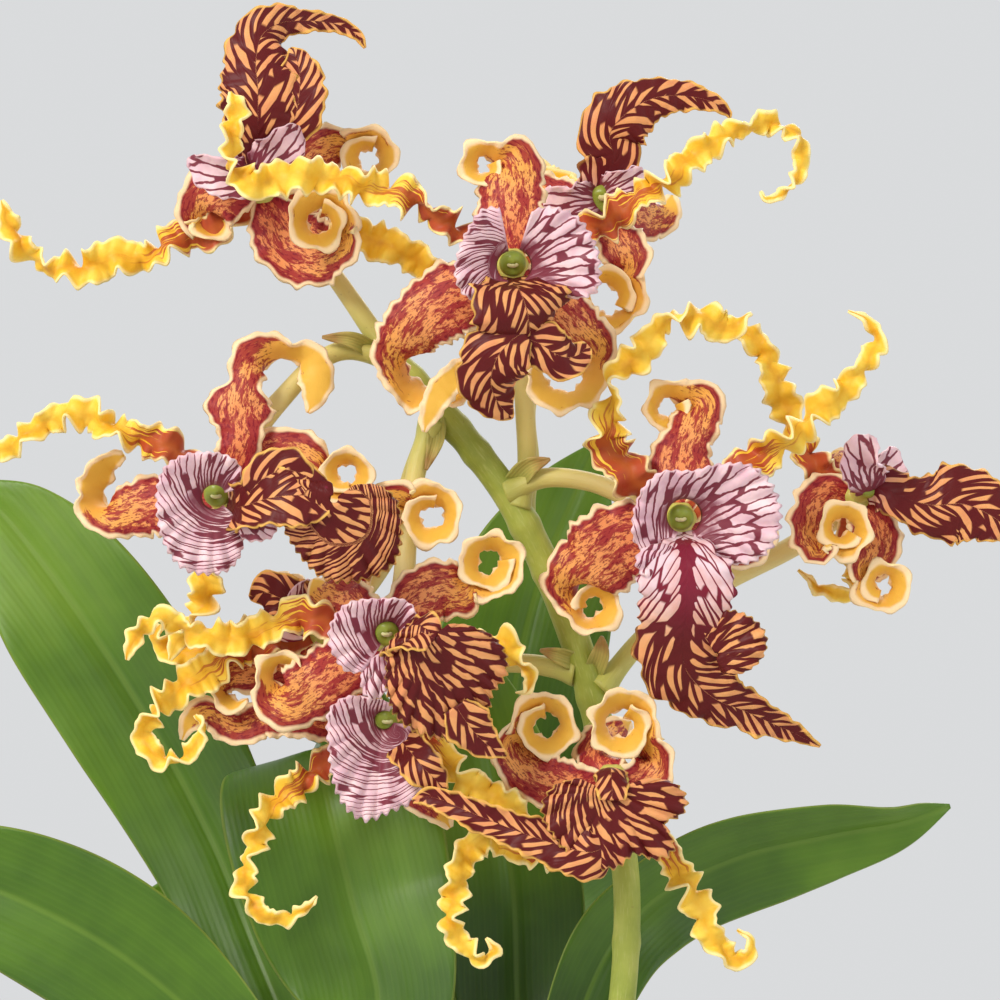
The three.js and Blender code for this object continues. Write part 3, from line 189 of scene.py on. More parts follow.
class Finish:
    """A material, built node by node round its Principled shader."""

    def __init__(self, name, **constants):
        self.material = bpy.data.materials.new(name)
        self.material.use_nodes = True
        self.tree = self.material.node_tree
        self.shader = self.tree.nodes["Principled BSDF"]
        self.feed(self.shader, {key.replace("_", " "): value for key, value in constants.items()})

    def feed(self, node, inputs):
        for key, value in inputs.items():
            if isinstance(value, Wire):
                self.tree.links.new(value.socket, node.inputs[key])
            else:
                node.inputs[key].default_value = value

    def add(self, kind, settings, inputs, output=0):
        """A node of a kind, with its settings made before its sockets are fed."""
        node = self.tree.nodes.new("ShaderNode" + kind)
        for key, value in settings.items():
            if key == "stops":
                ramp = node.color_ramp.elements
                while len(ramp) < len(value):
                    ramp.new(1.0)
                for stop, (place, colour) in zip(ramp, value):
                    stop.position = place
                    stop.color = colour
            else:
                setattr(node, key, value)
        self.feed(node, inputs)
        return Wire(self, node.outputs[output])

    def split(self, vector):
        node = self.tree.nodes.new("ShaderNodeSeparateXYZ")
        self.feed(node, {0: vector})
        return [Wire(self, output) for output in node.outputs]

    def join(self, x, y, z=0.0):
        return self.add("CombineXYZ", {}, {0: x, 1: y, 2: z})

    def mix(self, factor, first, second):
        return self.add("Mix", {"data_type": "RGBA"}, {0: factor, 6: first, 7: second}, output=2)

    def ramp(self, value, *stops):
        return self.add("ValToRGB", {"stops": stops}, {0: value})

    def noise(self, vector, scale, detail=3.0, roughness=0.5, distortion=0.0):
        sockets = {"Vector": vector, "Scale": scale, "Detail": detail, "Roughness": roughness}
        return self.add("TexNoise", {}, {**sockets, "Distortion": distortion})

    def place(self):
        """The place on the surface, in the row's own metres."""
        return self.add("TexCoord", {}, {}, output=3)

    def layer(self, name):
        """The two values that a piece's UV layer holds for a place."""
        return self.split(self.add("UVMap", {"uv_map": name}, {}))[:2]

    def strip(self):
        """How far across (-1 to 1) and along (0 to 1) a strip, then both in millimetres."""
        across, along = self.layer("share")
        wide, long = self.layer("size")
        return across * 2 - 1, along, wide * SIZE_MM, long * SIZE_MM

    def bump(self, height, strength, distance):
        inputs = {"Strength": strength, "Distance": distance, "Height": height}
        self.feed(self.shader, {"Normal": self.add("Bump", {}, inputs)})

    def done(self, colour, roughness):
        self.feed(self.shader, {"Base Color": colour, "Roughness": roughness})
        return self.material


def piece(name, parts, finishes, node):
    """One object that stands for a solid, from parts (points, faces, shares, sizes, finish)."""
    points = np.concatenate([part[0] for part in parts])
    starts = np.cumsum([0] + [len(part[0]) for part in parts])
    faces = np.concatenate([part[1] + start for part, start in zip(parts, starts)])
    mesh = bpy.data.meshes.new(name)
    mesh.from_pydata(points.tolist(), [], faces.tolist())
    corners = faces.ravel()
    for layer, column in (("share", 2), ("size", 3)):
        values = np.concatenate([part[column] for part in parts])
        mesh.uv_layers.new(name=layer).data.foreach_set("uv", values[corners].ravel())
    for finish in finishes:
        mesh.materials.append(finish)
    numbers = np.concatenate([np.broadcast_to(part[4], len(part[1])) for part in parts])
    mesh.polygons.foreach_set("material_index", numbers)
    mesh.polygons.foreach_set("use_smooth", np.full(len(faces), True))
    mesh.update()
    thing = bpy.data.objects.new(name, mesh)
    bpy.context.scene.collection.objects.link(thing)
    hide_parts(node)
    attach(thing, "root")


def shell(rings, share, size, finish):
    """A closed skin over rings of points (ring, place on it, axis), with a fan over each end."""
    count, around = rings.shape[:2]
    row = np.arange(count - 1)[:, None] * around
    step = np.arange(around)[None]
    after = (step + 1) % around
    a, b, c, d = row + step, row + after, row + around + after, row + around + step
    walls = np.stack([a, b, c, a, c, d], axis=-1).reshape(-1, 3)
    foot, tip = count * around, count * around + 1
    low, top = step[0], step[0] + (count - 1) * around
    fans = [
        np.stack([np.full(around, foot), after[0], low], axis=1),
        np.stack([np.full(around, tip), top, after[0] + (count - 1) * around], axis=1),
    ]
    faces = np.concatenate([walls, *fans])
    ends = [[values[0].mean(axis=0), values[-1].mean(axis=0)] for values in (rings, share, size)]
    points, share, size = (
        np.concatenate([values.reshape(-1, values.shape[-1]), end])
        for values, end in zip((rings, share, size), ends)
    )
    if np.ndim(finish):
        finish = np.concatenate([np.tile(np.repeat(finish, 2), count - 1), finish, finish])
    else:
        finish = np.full(len(faces), finish)
    corners = points[faces]
    if np.sum(corners[:, 0] * np.cross(corners[:, 1], corners[:, 2])) < 0:
        faces = faces[:, ::-1]
    return points, faces, share, size, finish


def plain(rings):
    """A skin whose place on it isn't needed by its finish."""
    share = np.zeros((*rings.shape[:2], 2))
    return shell(rings, share, share, 0)


def circle(count):
    """Angles evenly spaced round a full turn."""
    return np.linspace(0, 2 * math.pi, count, endpoint=False)


def turned(profile, around):
    """A closed surface of revolution from a profile of (radius, height)."""
    turn = circle(around)
    rings = [np.stack([r * np.cos(turn), r * np.sin(turn), 0 * turn + z], axis=1) for r, z in profile]
    return plain(np.array(rings))


def bevelled(corners, bevel, steps=4):
    """A profile with each inner corner of a list of (radius, height) rounded off."""
    made = [np.array(corners[0])]
    for before, corner, after in zip(corners, corners[1:], corners[2:]):
        before, corner, after = map(np.array, (before, corner, after))
        entry = corner + (before - corner) / np.linalg.norm(before - corner) * bevel
        leave = corner + (after - corner) / np.linalg.norm(after - corner) * bevel
        for step in range(steps + 1):
            t = step / steps
            made.append((1 - t) ** 2 * entry + 2 * t * (1 - t) * corner + t * t * leave)
    made.append(np.array(corners[-1]))
    return made


def clay():
    finish = Finish("fired_clay", Specular_IOR_Level=0.25)
    place = finish.place()
    _, _, height = finish.split(place)
    blotch = finish.noise(place, 14, 5, 0.6)
    grain = finish.noise(place, 420, 4, 0.65)
    salts = finish.noise(place, 26, 6, 0.7, 0.6).smooth(0.56, 0.78)
    colour = finish.ramp(blotch, (0.3, rgb(158, 84, 54)), (0.5, rgb(178, 99, 66)), (0.7, rgb(192, 116, 80)))
    colour = finish.mix(salts * 0.45, colour, rgb(216, 188, 164))
    # Darker towards the foot of the pot, fading out by 45 mm up.
    darker_foot = 1 - (height + blotch * 0.02).smooth(0.0, 0.045)
    colour = finish.mix(darker_foot * 0.35, colour, rgb(104, 58, 40))
    colour = finish.mix(grain.smooth(0.62, 0.75) * 0.25, colour, rgb(92, 50, 36))
    marks = {"Vector": place, "Scale": 260, "Distortion": 1.5}
    wheel = finish.add("TexWave", {"bands_direction": "Z"}, marks)
    finish.bump(grain * 0.5 + wheel * 0.25, 0.35, 0.0006)
    return finish.done(colour, 0.78 + 0.14 * grain)


pot_inside = POT_TOP_RADIUS - POT_WALL
pot_band = POT_HEIGHT - RIM_HEIGHT
pot_profile = bevelled(
    [
        (POT_CENTRE, 0.0),
        (POT_FOOT_RADIUS, 0.0),
        (POT_TOP_RADIUS - RIM_PROUD, pot_band),
        (POT_TOP_RADIUS, pot_band + RIM_STEP),
        (POT_TOP_RADIUS + RIM_PROUD, POT_HEIGHT),
        (pot_inside, POT_HEIGHT),
        (POT_FOOT_RADIUS - POT_WALL, POT_WALL),
        (POT_CENTRE, POT_WALL),
    ],
    POT_BEVEL,
)
piece("clay_pot", [turned(pot_profile, POT_ROUND)], [clay()], "pot")


# The bark. Chopped fir bark that orchids are potted in: flat broken chips 7 to 15 mm long, darker
# in patches, heaped loosely to 12 mm under the rim round the feet of the canes.
BARK_BELOW_RIM = 0.012
BARK_LUMP = 0.0022
BARK_FROM_WALL = 0.0012
BED_RINGS = 12
BED_ROUND = 96
BED_SUNK = 0.002
BED_FLOOR = 0.07
BED_TAPER = 0.9
CHIP_COUNT = 420
CHIP_CELLS = (3, 3, 2)
CHIP_SIZES = ((0.007, 0.015), (0.005, 0.011), (0.002, 0.0045))
CHIP_PINCH = 0.22
CHIP_ROUGH = 0.16
CHIP_TILT = 0.35
CHIP_LIFT = (-0.002, 0.0035)
CHIP_FROM_WALL = 0.0085
CHIP_FROM_CANE = 0.0045
# Each cane's foot on the bark in metres, its top in the view and its greatest radius.
CANES = {
    "front": {"foot": (-0.026, -0.014), "top": (338, 1110, -6), "radius": 0.0085},
    "right": {"foot": (0.014, 0.002), "top": (530, 1130, -22), "radius": 0.009},
    "back": {"foot": (-0.008, 0.030), "top": (462, 1120, -58), "radius": 0.008},
    "old": {"foot": (0.034, 0.026), "top": (640, 1280, -46), "radius": 0.007},
}


def bark_height(radius, turn):
    mm = radius * MM_PER_METRE
    lump = BARK_LUMP * math.sin(0.21 * mm + 3 * turn) * math.cos(0.17 * mm - 2 * turn)
    return POT_HEIGHT - BARK_BELOW_RIM + lump


def bed_place(radius, turn):
    return radius * math.cos(turn), radius * math.sin(turn), bark_height(radius, turn) - BED_SUNK


def bark_bed(radius):
    """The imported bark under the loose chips, lumpy on top and narrower below."""
    rings = []
    for step in range(BED_RINGS):
        inner = radius * (1 - step / BED_RINGS)
        rings.append([bed_place(inner, turn) for turn in circle(BED_ROUND)])
    low = [(x * BED_TAPER, y * BED_TAPER, BED_FLOOR) for x, y, _ in rings[0]]
    return plain(np.array([low, *rings]))


def turning(axis, angle):
    """The matrix of a turn about one of the three axes."""
    first, second = (axis + 1) % 3, (axis + 2) % 3
    matrix = np.eye(3)
    matrix[first, first] = math.cos(angle)
    matrix[second, second] = math.cos(angle)
    matrix[first, second] = -math.sin(angle)
    matrix[second, first] = math.sin(angle)
    return matrix


def chip(draw, centre, size):
    """A broken chip: a small box of cells with its points pushed about, then tumbled."""
    faces = []
    numbers = {}
    points = []

    def corner(*cell):
        if cell not in numbers:
            numbers[cell] = len(points)
            place = [2 * c / n - 1 for c, n in zip(cell, CHIP_CELLS)]
            pinch = 1 - CHIP_PINCH * (abs(place[0]) * abs(place[1]))
            points.append([p * pinch + draw.uniform(-CHIP_ROUGH, CHIP_ROUGH) for p in place])
        return numbers[cell]

    for axis in range(3):
        first, second = [a for a in range(3) if a != axis]
        for end in (0, CHIP_CELLS[axis]):
            for i in range(CHIP_CELLS[first]):
                for j in range(CHIP_CELLS[second]):
                    quad = []
                    for di, dj in ((0, 0), (1, 0), (1, 1), (0, 1)):
                        cell = [0, 0, 0]
                        cell[axis] = end
                        cell[first] = i + di
                        cell[second] = j + dj
                        quad.append(corner(*cell))
                    outward = (end > 0) == (axis != 1)
                    a, b, c, d = quad if outward else quad[::-1]
                    faces += [(a, b, c), (a, c, d)]
    shaped = np.array(points) * np.array(size) / 2
    yaw, pitch, bank = draw.uniform(0, 2 * math.pi), draw.gauss(0, CHIP_TILT), draw.gauss(0, CHIP_TILT)
    tumble = turning(2, yaw) @ turning(0, pitch) @ turning(1, bank)
    tone = np.tile((draw.random(), draw.random()), (len(shaped), 1))
    return shaped @ tumble.T + np.array(centre), np.array(faces), tone, tone, 0


def bark_finish():
    finish = Finish("fir_bark", Specular_IOR_Level=0.3)
    place = finish.place()
    tone, other = finish.layer("share")
    fibre = finish.noise(place, 320, 6, 0.7, 1.2)
    patch = finish.noise(place, 90, 4, 0.6)
    colour = finish.ramp(tone, (0.0, rgb(58, 36, 24)), (0.5, rgb(92, 58, 38)), (1.0, rgb(134, 90, 60)))
    colour = finish.mix(patch.smooth(0.45, 0.7) * 0.5, colour, rgb(44, 28, 20))
    colour = finish.mix(fibre.smooth(0.55, 0.7) * other * 0.6, colour, rgb(168, 126, 92))
    finish.bump(fibre + patch, 0.8, 0.0012)
    return finish.done(colour, 0.82 + 0.12 * patch)


def by_cane(x, y, room):
    """Whether a place on the bark lies in a cane or within "room" of one."""
    feet = [(*cane["foot"], cane["radius"]) for cane in CANES.values()]
    return any(math.hypot(x - foot_x, y - foot_y) < radius + room for foot_x, foot_y, radius in feet)


def bark():
    draw = random.Random(4)
    slope = (POT_TOP_RADIUS - POT_FOOT_RADIUS) / (POT_HEIGHT - POT_WALL)
    reach = POT_TOP_RADIUS - POT_WALL - slope * BARK_BELOW_RIM - BARK_FROM_WALL
    parts = [bark_bed(reach)]
    for _ in range(CHIP_COUNT):
        size = [draw.uniform(*span) for span in CHIP_SIZES]
        radius = (reach - CHIP_FROM_WALL) * math.sqrt(draw.random())
        turn = draw.uniform(0, 2 * math.pi)
        x, y = radius * math.cos(turn), radius * math.sin(turn)
        if by_cane(x, y, CHIP_FROM_CANE):
            continue
        height = bark_height(radius, turn) + draw.uniform(*CHIP_LIFT)
        parts.append(chip(draw, (x, y, height), size))
    piece("bark_chips", parts, [bark_finish()], "bark")


bark()


# The canes. Fleshy jointed stems, ribbed lengthwise and swollen in the middle, with a ring at each
# joint and the papery remains of old leaf sheaths on their lower joints. They stand in the bark.
CANE_SUNK = 0.040
CANE_UPRIGHT = 0.020
CANE_STEPS = 150
CANE_ROUND = 48
CANE_RINGS = 9
CANE_RING_WIDTH = 0.045
CANE_RING_PROUD = 0.07
CANE_RIBS = 11
CANE_RIB_DEPTH = 0.022
CANE_TIP = 0.018


def unit(vectors):
    return vectors / np.maximum(np.linalg.norm(vectors, axis=-1, keepdims=True), 1e-12)


def cane_centre(cane, t):
    """Points along a cane's middle, t from 0 in the bark to 1 at its top."""
    x, y = cane["foot"]
    start = np.array((x, y, POT_HEIGHT - BARK_BELOW_RIM - CANE_SUNK))
    bend = np.array((x, y, POT_HEIGHT + CANE_UPRIGHT))
    end = np.array(seen(*cane["top"]))
    t = t[:, None]
    return (1 - t) ** 2 * start + 2 * t * (1 - t) * bend + t * t * end


def hoops(centre, side, front, reach, turn):
    """Rings round the places of a line, their points at "reach" along two directions across it."""
    return (
        centre[:, None]
        + side[:, None] * (reach * np.cos(turn))[..., None]
        + front[:, None] * (reach * np.sin(turn))[..., None]
    )


def cane_mesh(cane, seed):
    t = np.linspace(0, 1, CANE_STEPS)
    centre = cane_centre(cane, t)
    along = unit(np.gradient(centre, axis=0))
    side = unit(np.array((1.0, 0.0, 0.0)) - along * along[:, :1])
    joint = (t * CANE_RINGS + 0.1 * seed) % 1
    ring = np.exp(-((np.minimum(joint, 1 - joint) / CANE_RING_WIDTH) ** 2))
    swell = 0.45 + 0.55 * np.sin(math.pi * (0.12 + 0.8 * t))
    belly = 0.96 + 0.05 * np.sin(math.pi * joint)
    tip = np.sqrt(np.clip((1 - t) / CANE_TIP, 0.02, 1))
    radius = cane["radius"] * swell * (belly + CANE_RING_PROUD * ring) * tip
    turn = circle(CANE_ROUND)
    ribs = 1 + CANE_RIB_DEPTH * np.cos(CANE_RIBS * turn + seed)[None] * (1 - ring)[:, None]
    rings = hoops(centre, side, np.cross(along, side), radius[:, None] * ribs, turn)
    crown = centre[-1] + (rings[-1:] - centre[-1]) * 0.02 + along[-1] * 0.0003
    rings = np.concatenate([rings, crown])
    around = np.tile(turn / (2 * math.pi), (len(rings), 1))
    share, size = (
        np.stack([around, np.tile(np.append(values, last)[:, None], (1, CANE_ROUND))], axis=-1)
        for values, last in ((t, 1), (joint, joint[-1]))
    )
    return shell(rings, share, size, 0)


def cane_finish(age):
    finish = Finish(f"cane_{'old' if age > 0.5 else 'green'}", Specular_IOR_Level=0.35, Coat_Weight=0.05)
    place = finish.place()
    _, along = finish.layer("share")
    _, joint = finish.layer("size")
    x, y, z = finish.split(place)
    fibre = finish.noise(finish.join(x * 900, y * 900, z * 40), 1.0, 5, 0.6)
    blotch = finish.noise(place, 60, 5, 0.6)
    flesh = finish.ramp(
        along + blotch * 0.25,
        (0.1, rgb(132, 120, 58)),
        (0.5, rgb(126, 136, 48)),
        (0.95, rgb(98, 126, 34)),
    )
    flesh = finish.mix(fibre.smooth(0.5, 0.75) * 0.35, flesh, rgb(168, 160, 92))
    near_ring = 1 - joint.least(1 - joint).smooth(0.02, 0.07)
    flesh = finish.mix(near_ring * 0.8, flesh, rgb(96, 70, 40))
    paper = finish.ramp(
        fibre,
        (0.3, rgb(140, 122, 92)),
        (0.55, rgb(186, 172, 140)),
        (0.8, rgb(206, 196, 168)),
    )
    torn = (0.62 - along + (blotch - 0.5) * 0.5 - joint * 0.22 + age * 0.5).smooth(0.0, 0.04)
    colour = finish.mix(torn * 0.9, flesh, paper)
    colour = finish.mix((blotch * fibre).smooth(0.32, 0.5) * 0.5, colour, rgb(84, 60, 34))
    finish.bump(fibre * (0.4 + torn) + torn * 0.6, 0.5, 0.0006)
    return finish.done(colour, 0.45 + 0.35 * torn)


cane_greens = cane_finish(0.0)
cane_greys = cane_finish(1.0)
for number, (name, cane) in enumerate(CANES.items()):
    finish = cane_greys if name == "old" else cane_greens
    piece(f"{name}_cane", [cane_mesh(cane, number)], [finish], f"cane_{name}")


# The leaves. Broad strap leaves, leathery and folded along the midrib, each clasping the top of
# its cane. Fine parallel veins run their whole length, and the upper side has a soft sheen.
LEAF_THICKNESS = 0.0013
LEAF_LANES = 30
LEAF_STEPS = 160
FINE_STEPS = 60
SMOOTHED_OVER = 9
SLIMMEST = 0.2
LEAST_CURL = 0.02
# A row of a strip is [x, y, out, half width, roll, curl]: a place in the view, then mm, degrees
# turned about its own line, and degrees that each half curls towards the upper face. Roll and
# curl are 0 where a row leaves them out.
LEAVES = {
    "left_tall": [[336, 1142, -8, 4, 0, 40], [262, 965, -28, 11, 0, 20], [212, 840, -36, 14.5, 0, 12],
        [145, 715, -40, 17, 0, 12], [72, 603, -43, 16.5, 0, 12], [14, 526, -46, 11, 0, 10],
        [-30, 480, -48, 0.6]],
    "left_low": [[338, 1175, -3, 4, 0, 40], [232, 1052, 2, 11, 0, 25], [130, 962, 3, 15, 0, 15],
        [30, 905, 2, 14.5, 0, 15], [-60, 872, 0, 10, 0, 10], [-130, 858, -3, 0.6]],
    "folded": [[339, 1190, -5, 4, 0, 40], [310, 1040, -42, 8, 0, 30], [245, 918, -50, 8, 0, 20],
        [192, 892, -50, 5], [143, 895, -48, 0.6]],
    "broad": [[338, 1114, -4, 5, 0, 40], [378, 1010, -6, 15, 0, 20], [352, 900, -11, 21, 0, 14],
        [328, 800, -15, 22, 0, 8], [320, 752, -26, 19], [320, 744, -42, 13], [321, 738, -58, 0.6]],
    "upright": [[529, 1134, -24, 5, 0, 40], [518, 1010, -34, 13, 0, 25], [514, 900, -36, 15, 0, 20],
        [500, 800, -39, 13.5, 0, 20], [478, 705, -42, 9, 0, 10], [458, 630, -48, 0.6]],
    "right_long": [[530, 1182, -20, 4, 0, 40], [592, 985, -16, 9.5, 12, 30], [650, 905, -20, 11, 20, 32],
        [735, 860, -24, 12, 26, 34], [825, 838, -27, 10, 30, 30], [900, 824, -29, 5.5, 30, 20],
        [950, 806, -32, 0.5]],
    "back_tall": [[462, 1124, -58, 5, 0, 40], [490, 950, -66, 14, 0, 20], [502, 800, -70, 18, 0, 14],
        [516, 680, -74, 19, 0, 10], [540, 580, -77, 17, 0, 10], [572, 500, -80, 10, 0, 10],
        [600, 440, -82, 0.6]],
    "back_left": [[462, 1165, -60, 4, 0, 40], [405, 1010, -96, 12, 20, 25], [360, 930, -124, 14, 30, 20],
        [320, 890, -150, 11, 30, 15], [290, 885, -172, 0.6]],
    "back_right": [[462, 1205, -60, 4, 0, 40], [540, 1000, -92, 12, -20, 25],
        [610, 920, -116, 14, -30, 20], [680, 880, -138, 11, -30, 15], [735, 872, -156, 0.6]],
}


def along_rows(rows, t):
    """A smooth line through rows of numbers, at t from 0 to 1, with its ends run on."""
    rows = np.asarray(rows, float)
    padded = np.concatenate([2 * rows[:1] - rows[1:2], rows, 2 * rows[-1:] - rows[-2:-1]])
    reach = np.clip(t, 0, 1) * (len(rows) - 1)
    first = np.minimum(reach.astype(int), len(rows) - 2)
    w = (reach - first)[:, None]
    a, b, c, d = (padded[first + k] for k in range(4))
    return 0.5 * (2 * b + (c - a) * w + (2 * a - 5 * b + 4 * c - d) * w**2 + (3 * b - a - 3 * c + d) * w**3)


def even_line(rows, steps=2):
    """Points evenly spaced along a strip's line, its mm from the start, and t at each of them."""
    places = [seen(*row[:3]) for row in rows]
    fine = np.linspace(0, 1, FINE_STEPS * len(rows))
    points = along_rows(places, fine)
    run = np.concatenate([[0], np.cumsum(np.linalg.norm(np.diff(points, axis=0), axis=1))])
    even = np.linspace(0, run[-1], steps)
    t = np.interp(even, run, fine)
    return along_rows(places, t), even * MM_PER_METRE, t


def length_of(rows):
    return even_line(rows)[1][-1]


def turned_about(vectors, axes, angles):
    cos, sin = np.cos(angles)[:, None], np.sin(angles)[:, None]
    along = np.sum(vectors * axes, axis=1, keepdims=True) * axes
    return vectors * cos + np.cross(axes, vectors) * sin + along * (1 - cos)


def nothing(run):
    return np.zeros_like(run)


def strip_line(rows, steps, droop=None, twist=nothing):
    """The line of a strip with its width and upward directions, half width and curl at each step.
    With a droop, the strip starts with its back to that direction of the view. "twist" turns it
    further by degrees for its mm from the start."""
    centre, run, t = even_line(rows, steps)
    half, roll, curl = along_rows([[*row[3:], 0, 0][:3] for row in rows], t).T
    roll = roll + twist(run)
    along = unit(np.gradient(centre, axis=0))
    if droop is None:
        across = np.cross(along, TO_VIEWER)
        for i in range(1, steps):
            if across[i] @ across[i - 1] < 0:
                across[i:] *= -1
        window = np.hanning(SMOOTHED_OVER)
        padded = np.pad(across, ((SMOOTHED_OVER // 2,) * 2, (0, 0)), mode="edge")
        across = np.stack([np.convolve(padded[:, k], window, mode="valid") for k in range(3)], axis=1)
    else:
        lean = math.radians(droop)
        across = np.empty_like(along)
        across[0] = np.cross((math.cos(lean), 0, math.sin(lean)), along[0])
        for i in range(1, steps):
            across[i] = unit(across[i - 1] - along[i] * (along[i] @ across[i - 1]))
    across = unit(across - along * np.sum(across * along, axis=1, keepdims=True))
    width = turned_about(across, along, np.radians(roll))
    return {
        "centre": centre,
        "run": run,
        "width": width,
        "up": np.cross(width, along),
        "half": np.maximum(half, SLIMMEST) / MM_PER_METRE,
        "curl": np.radians(curl),
    }


def normals(surface):
    return unit(np.cross(np.gradient(surface, axis=1), np.gradient(surface, axis=0)))


def sheet(middle, normal, depth, share, size, finish):
    """A closed thin sheet that reaches "depth" each way from its middle surface."""
    upper = middle + normal * depth[..., None]
    lower = (middle - normal * depth[..., None])[:, -2:0:-1]
    share, size = (np.concatenate([grid, grid[:, -2:0:-1]], axis=1) for grid in (share, size))
    return shell(np.concatenate([upper, lower], axis=1), share, size, finish)


def blade(line, lanes, thickness, lift, widen=None, faces=(0, 1)):
    """A thin blade on a strip's line. "lift" and "widen" bend it, given shares across and mm along."""
    x = np.linspace(-1, 1, lanes + 1)
    side = (0.55 * x + 0.45 * np.sin(math.pi / 2 * x))[None]
    run = line["run"][:, None]
    half = line["half"][:, None] * (1 if widen is None else 1 + widen(side, run))
    bend = np.where(np.abs(line["curl"]) < LEAST_CURL, LEAST_CURL, line["curl"])[:, None]
    sideways = half * np.sin(side * bend) / bend
    raised = half * (1 - np.cos(side * bend)) / bend + lift(side, run, half * MM_PER_METRE) / MM_PER_METRE
    middle = line["centre"][:, None] + line["width"][:, None] * sideways[..., None]
    middle = middle + line["up"][:, None] * raised[..., None]
    depth = thickness / 2 * np.sqrt(np.clip(1 - side**6, 0, 1)) * np.minimum(1, half / thickness)
    share = np.stack(np.broadcast_arrays((side + 1) / 2, run / run[-1]), axis=-1)
    size = np.stack(np.broadcast_arrays(side * half * SIZE_PER_METRE, run / SIZE_MM), axis=-1)
    finish = np.array([faces[0]] * lanes + [faces[1]] * lanes)
    return sheet(middle, normals(middle), depth, share, size, finish)


def leaf_lift(seed):
    """How a leaf's face rises, in mm: its midrib's groove, fine pleats, a slow sway and its edge."""
    draw = random.Random(seed)
    phases = [draw.uniform(0, 6.3) for _ in range(3)]

    def lift(side, run, half):
        broad = np.minimum(1, half / 6)
        groove = -0.9 * np.exp(-((side * half / 1.6) ** 2)) * np.minimum(1, half / 8)
        pleats = 0.035 * np.cos(side * 19) * broad * (1 - side**2)
        sway = 0.7 * np.sin(run / 21 + phases[0]) * side + 0.5 * np.sin(run / 13 + phases[1]) * side**2
        edge = 0.35 * np.abs(side) ** 6 * np.sin(run / 4.2 + phases[2])
        return groove + pleats + (sway + edge) * broad

    return lift


def leaf_upper():
    finish = Finish(
        "leaf_upper_side",
        Specular_IOR_Level=0.34,
        Coat_Weight=0.08,
        Coat_Roughness=0.34,
        Subsurface_Weight=0.05,
        Subsurface_Radius=(0.3, 1.0, 0.15),
        Subsurface_Scale=0.002,
    )
    side, along, across, run = finish.strip()
    place = finish.place()
    cloud = finish.noise(place, 16, 4, 0.55)
    wander = finish.noise(finish.join(across * 0.12, run * 0.012), 1.0, 2, 0.5)
    vein = ((across + wander * 1.2) * 5.2).waves()
    broad = ((across + wander * 2.0) * 1.35).waves()
    fleck = finish.noise(finish.join(across * 2.2, run * 0.35), 1.0, 4, 0.6)
    colour = finish.ramp(
        cloud + along * 0.12,
        (0.30, rgb(36, 64, 4)),
        (0.48, rgb(56, 90, 8)),
        (0.62, rgb(80, 116, 16)),
        (0.80, rgb(106, 138, 34)),
    )
    colour = finish.mix(vein.smooth(0.55, 1.0) * 0.05, colour, rgb(110, 142, 46))
    colour = finish.mix(broad.smooth(0.5, 1.0) * 0.09, colour, rgb(36, 66, 6))
    colour = finish.mix(fleck.smooth(0.62, 0.8) * 0.22, colour, rgb(112, 140, 46))
    rib = 1 - abs(across).smooth(0.25, 1.1)
    colour = finish.mix(rib * 0.3, colour, rgb(116, 146, 48))
    rim = abs(side).smooth(0.965, 0.995)
    colour = finish.mix(rim * 0.5, colour, rgb(150, 160, 70))
    sheath = 1 - along.smooth(0.0, 0.14)
    colour = finish.mix(sheath * 0.6, colour, rgb(150, 156, 78))
    finish.bump(vein * 0.25 + broad * 0.4 + fleck * 0.3, 0.2, 0.0005)
    return finish.done(colour, 0.3 + 0.16 * fleck + 0.1 * cloud)


def leaf_under():
    finish = Finish("leaf_under_side", Specular_IOR_Level=0.35, Subsurface_Weight=0.05)
    _, _, across, _ = finish.strip()
    cloud = finish.noise(finish.place(), 22, 4, 0.55)
    vein = (across * 5.2 + cloud * 2).waves()
    colour = finish.ramp(
        cloud,
        (0.3, rgb(74, 106, 34)),
        (0.55, rgb(104, 134, 54)),
        (0.8, rgb(128, 152, 74)),
    )
    colour = finish.mix(vein.smooth(0.6, 1.0) * 0.25, colour, rgb(150, 170, 96))
    keel = 1 - abs(across).smooth(0.4, 1.5)
    colour = finish.mix(keel * 0.5, colour, rgb(158, 172, 98))
    finish.bump(vein * 0.5 + keel, 0.3, 0.0005)
    return finish.done(colour, 0.55 + 0.12 * cloud)


leaf_finishes = [leaf_upper(), leaf_under()]
for number, (name, rows) in enumerate(LEAVES.items()):
    line = strip_line(rows, LEAF_STEPS)
    part = blade(line, LEAF_LANES, LEAF_THICKNESS, leaf_lift(number))
    piece(f"{name}_leaf", [part], leaf_finishes, f"leaf_{name}")


# The flower stalk. One arching green stalk from the side of a cane, a little angled and swollen
# where the flower stems leave it. Each stem is cream, ribbed towards its flower, over a bract.
STALK_ROUND = 28
STALK_STEPS = 260
STALK_NODES = (0.36, 0.565, 0.60, 0.73, 0.78, 0.865, 0.895, 0.96)
NODE_PROUD = 0.10
NODE_WIDTH = 0.008
STEM_ROUND = 14
STEM_STEPS = 90
STEM_BEHIND = 2.6
STEM_TIP_RADIUS = 1.7
STEM_RIBS = 6
BRACT_LANES = 10
BRACT_STEPS = 40
BRACT_THICKNESS = 0.0007
STALK = [[532, 1262, -20, 2.6], [572, 1180, -13, 2.8], [606, 1085, -4, 2.8], [622, 1000, 0, 2.7],
    [627, 900, 0, 2.7], [618, 820, -3, 2.8], [598, 722, -4, 3], [580, 655, -4, 3.1], [556, 590, -4, 3.1],
    [530, 535, -4, 3.1], [503, 488, -4, 3], [466, 440, -4, 2.9], [428, 396, -4, 2.8], [394, 360, -4, 2.6],
    [384, 349, -4, 2.2]]
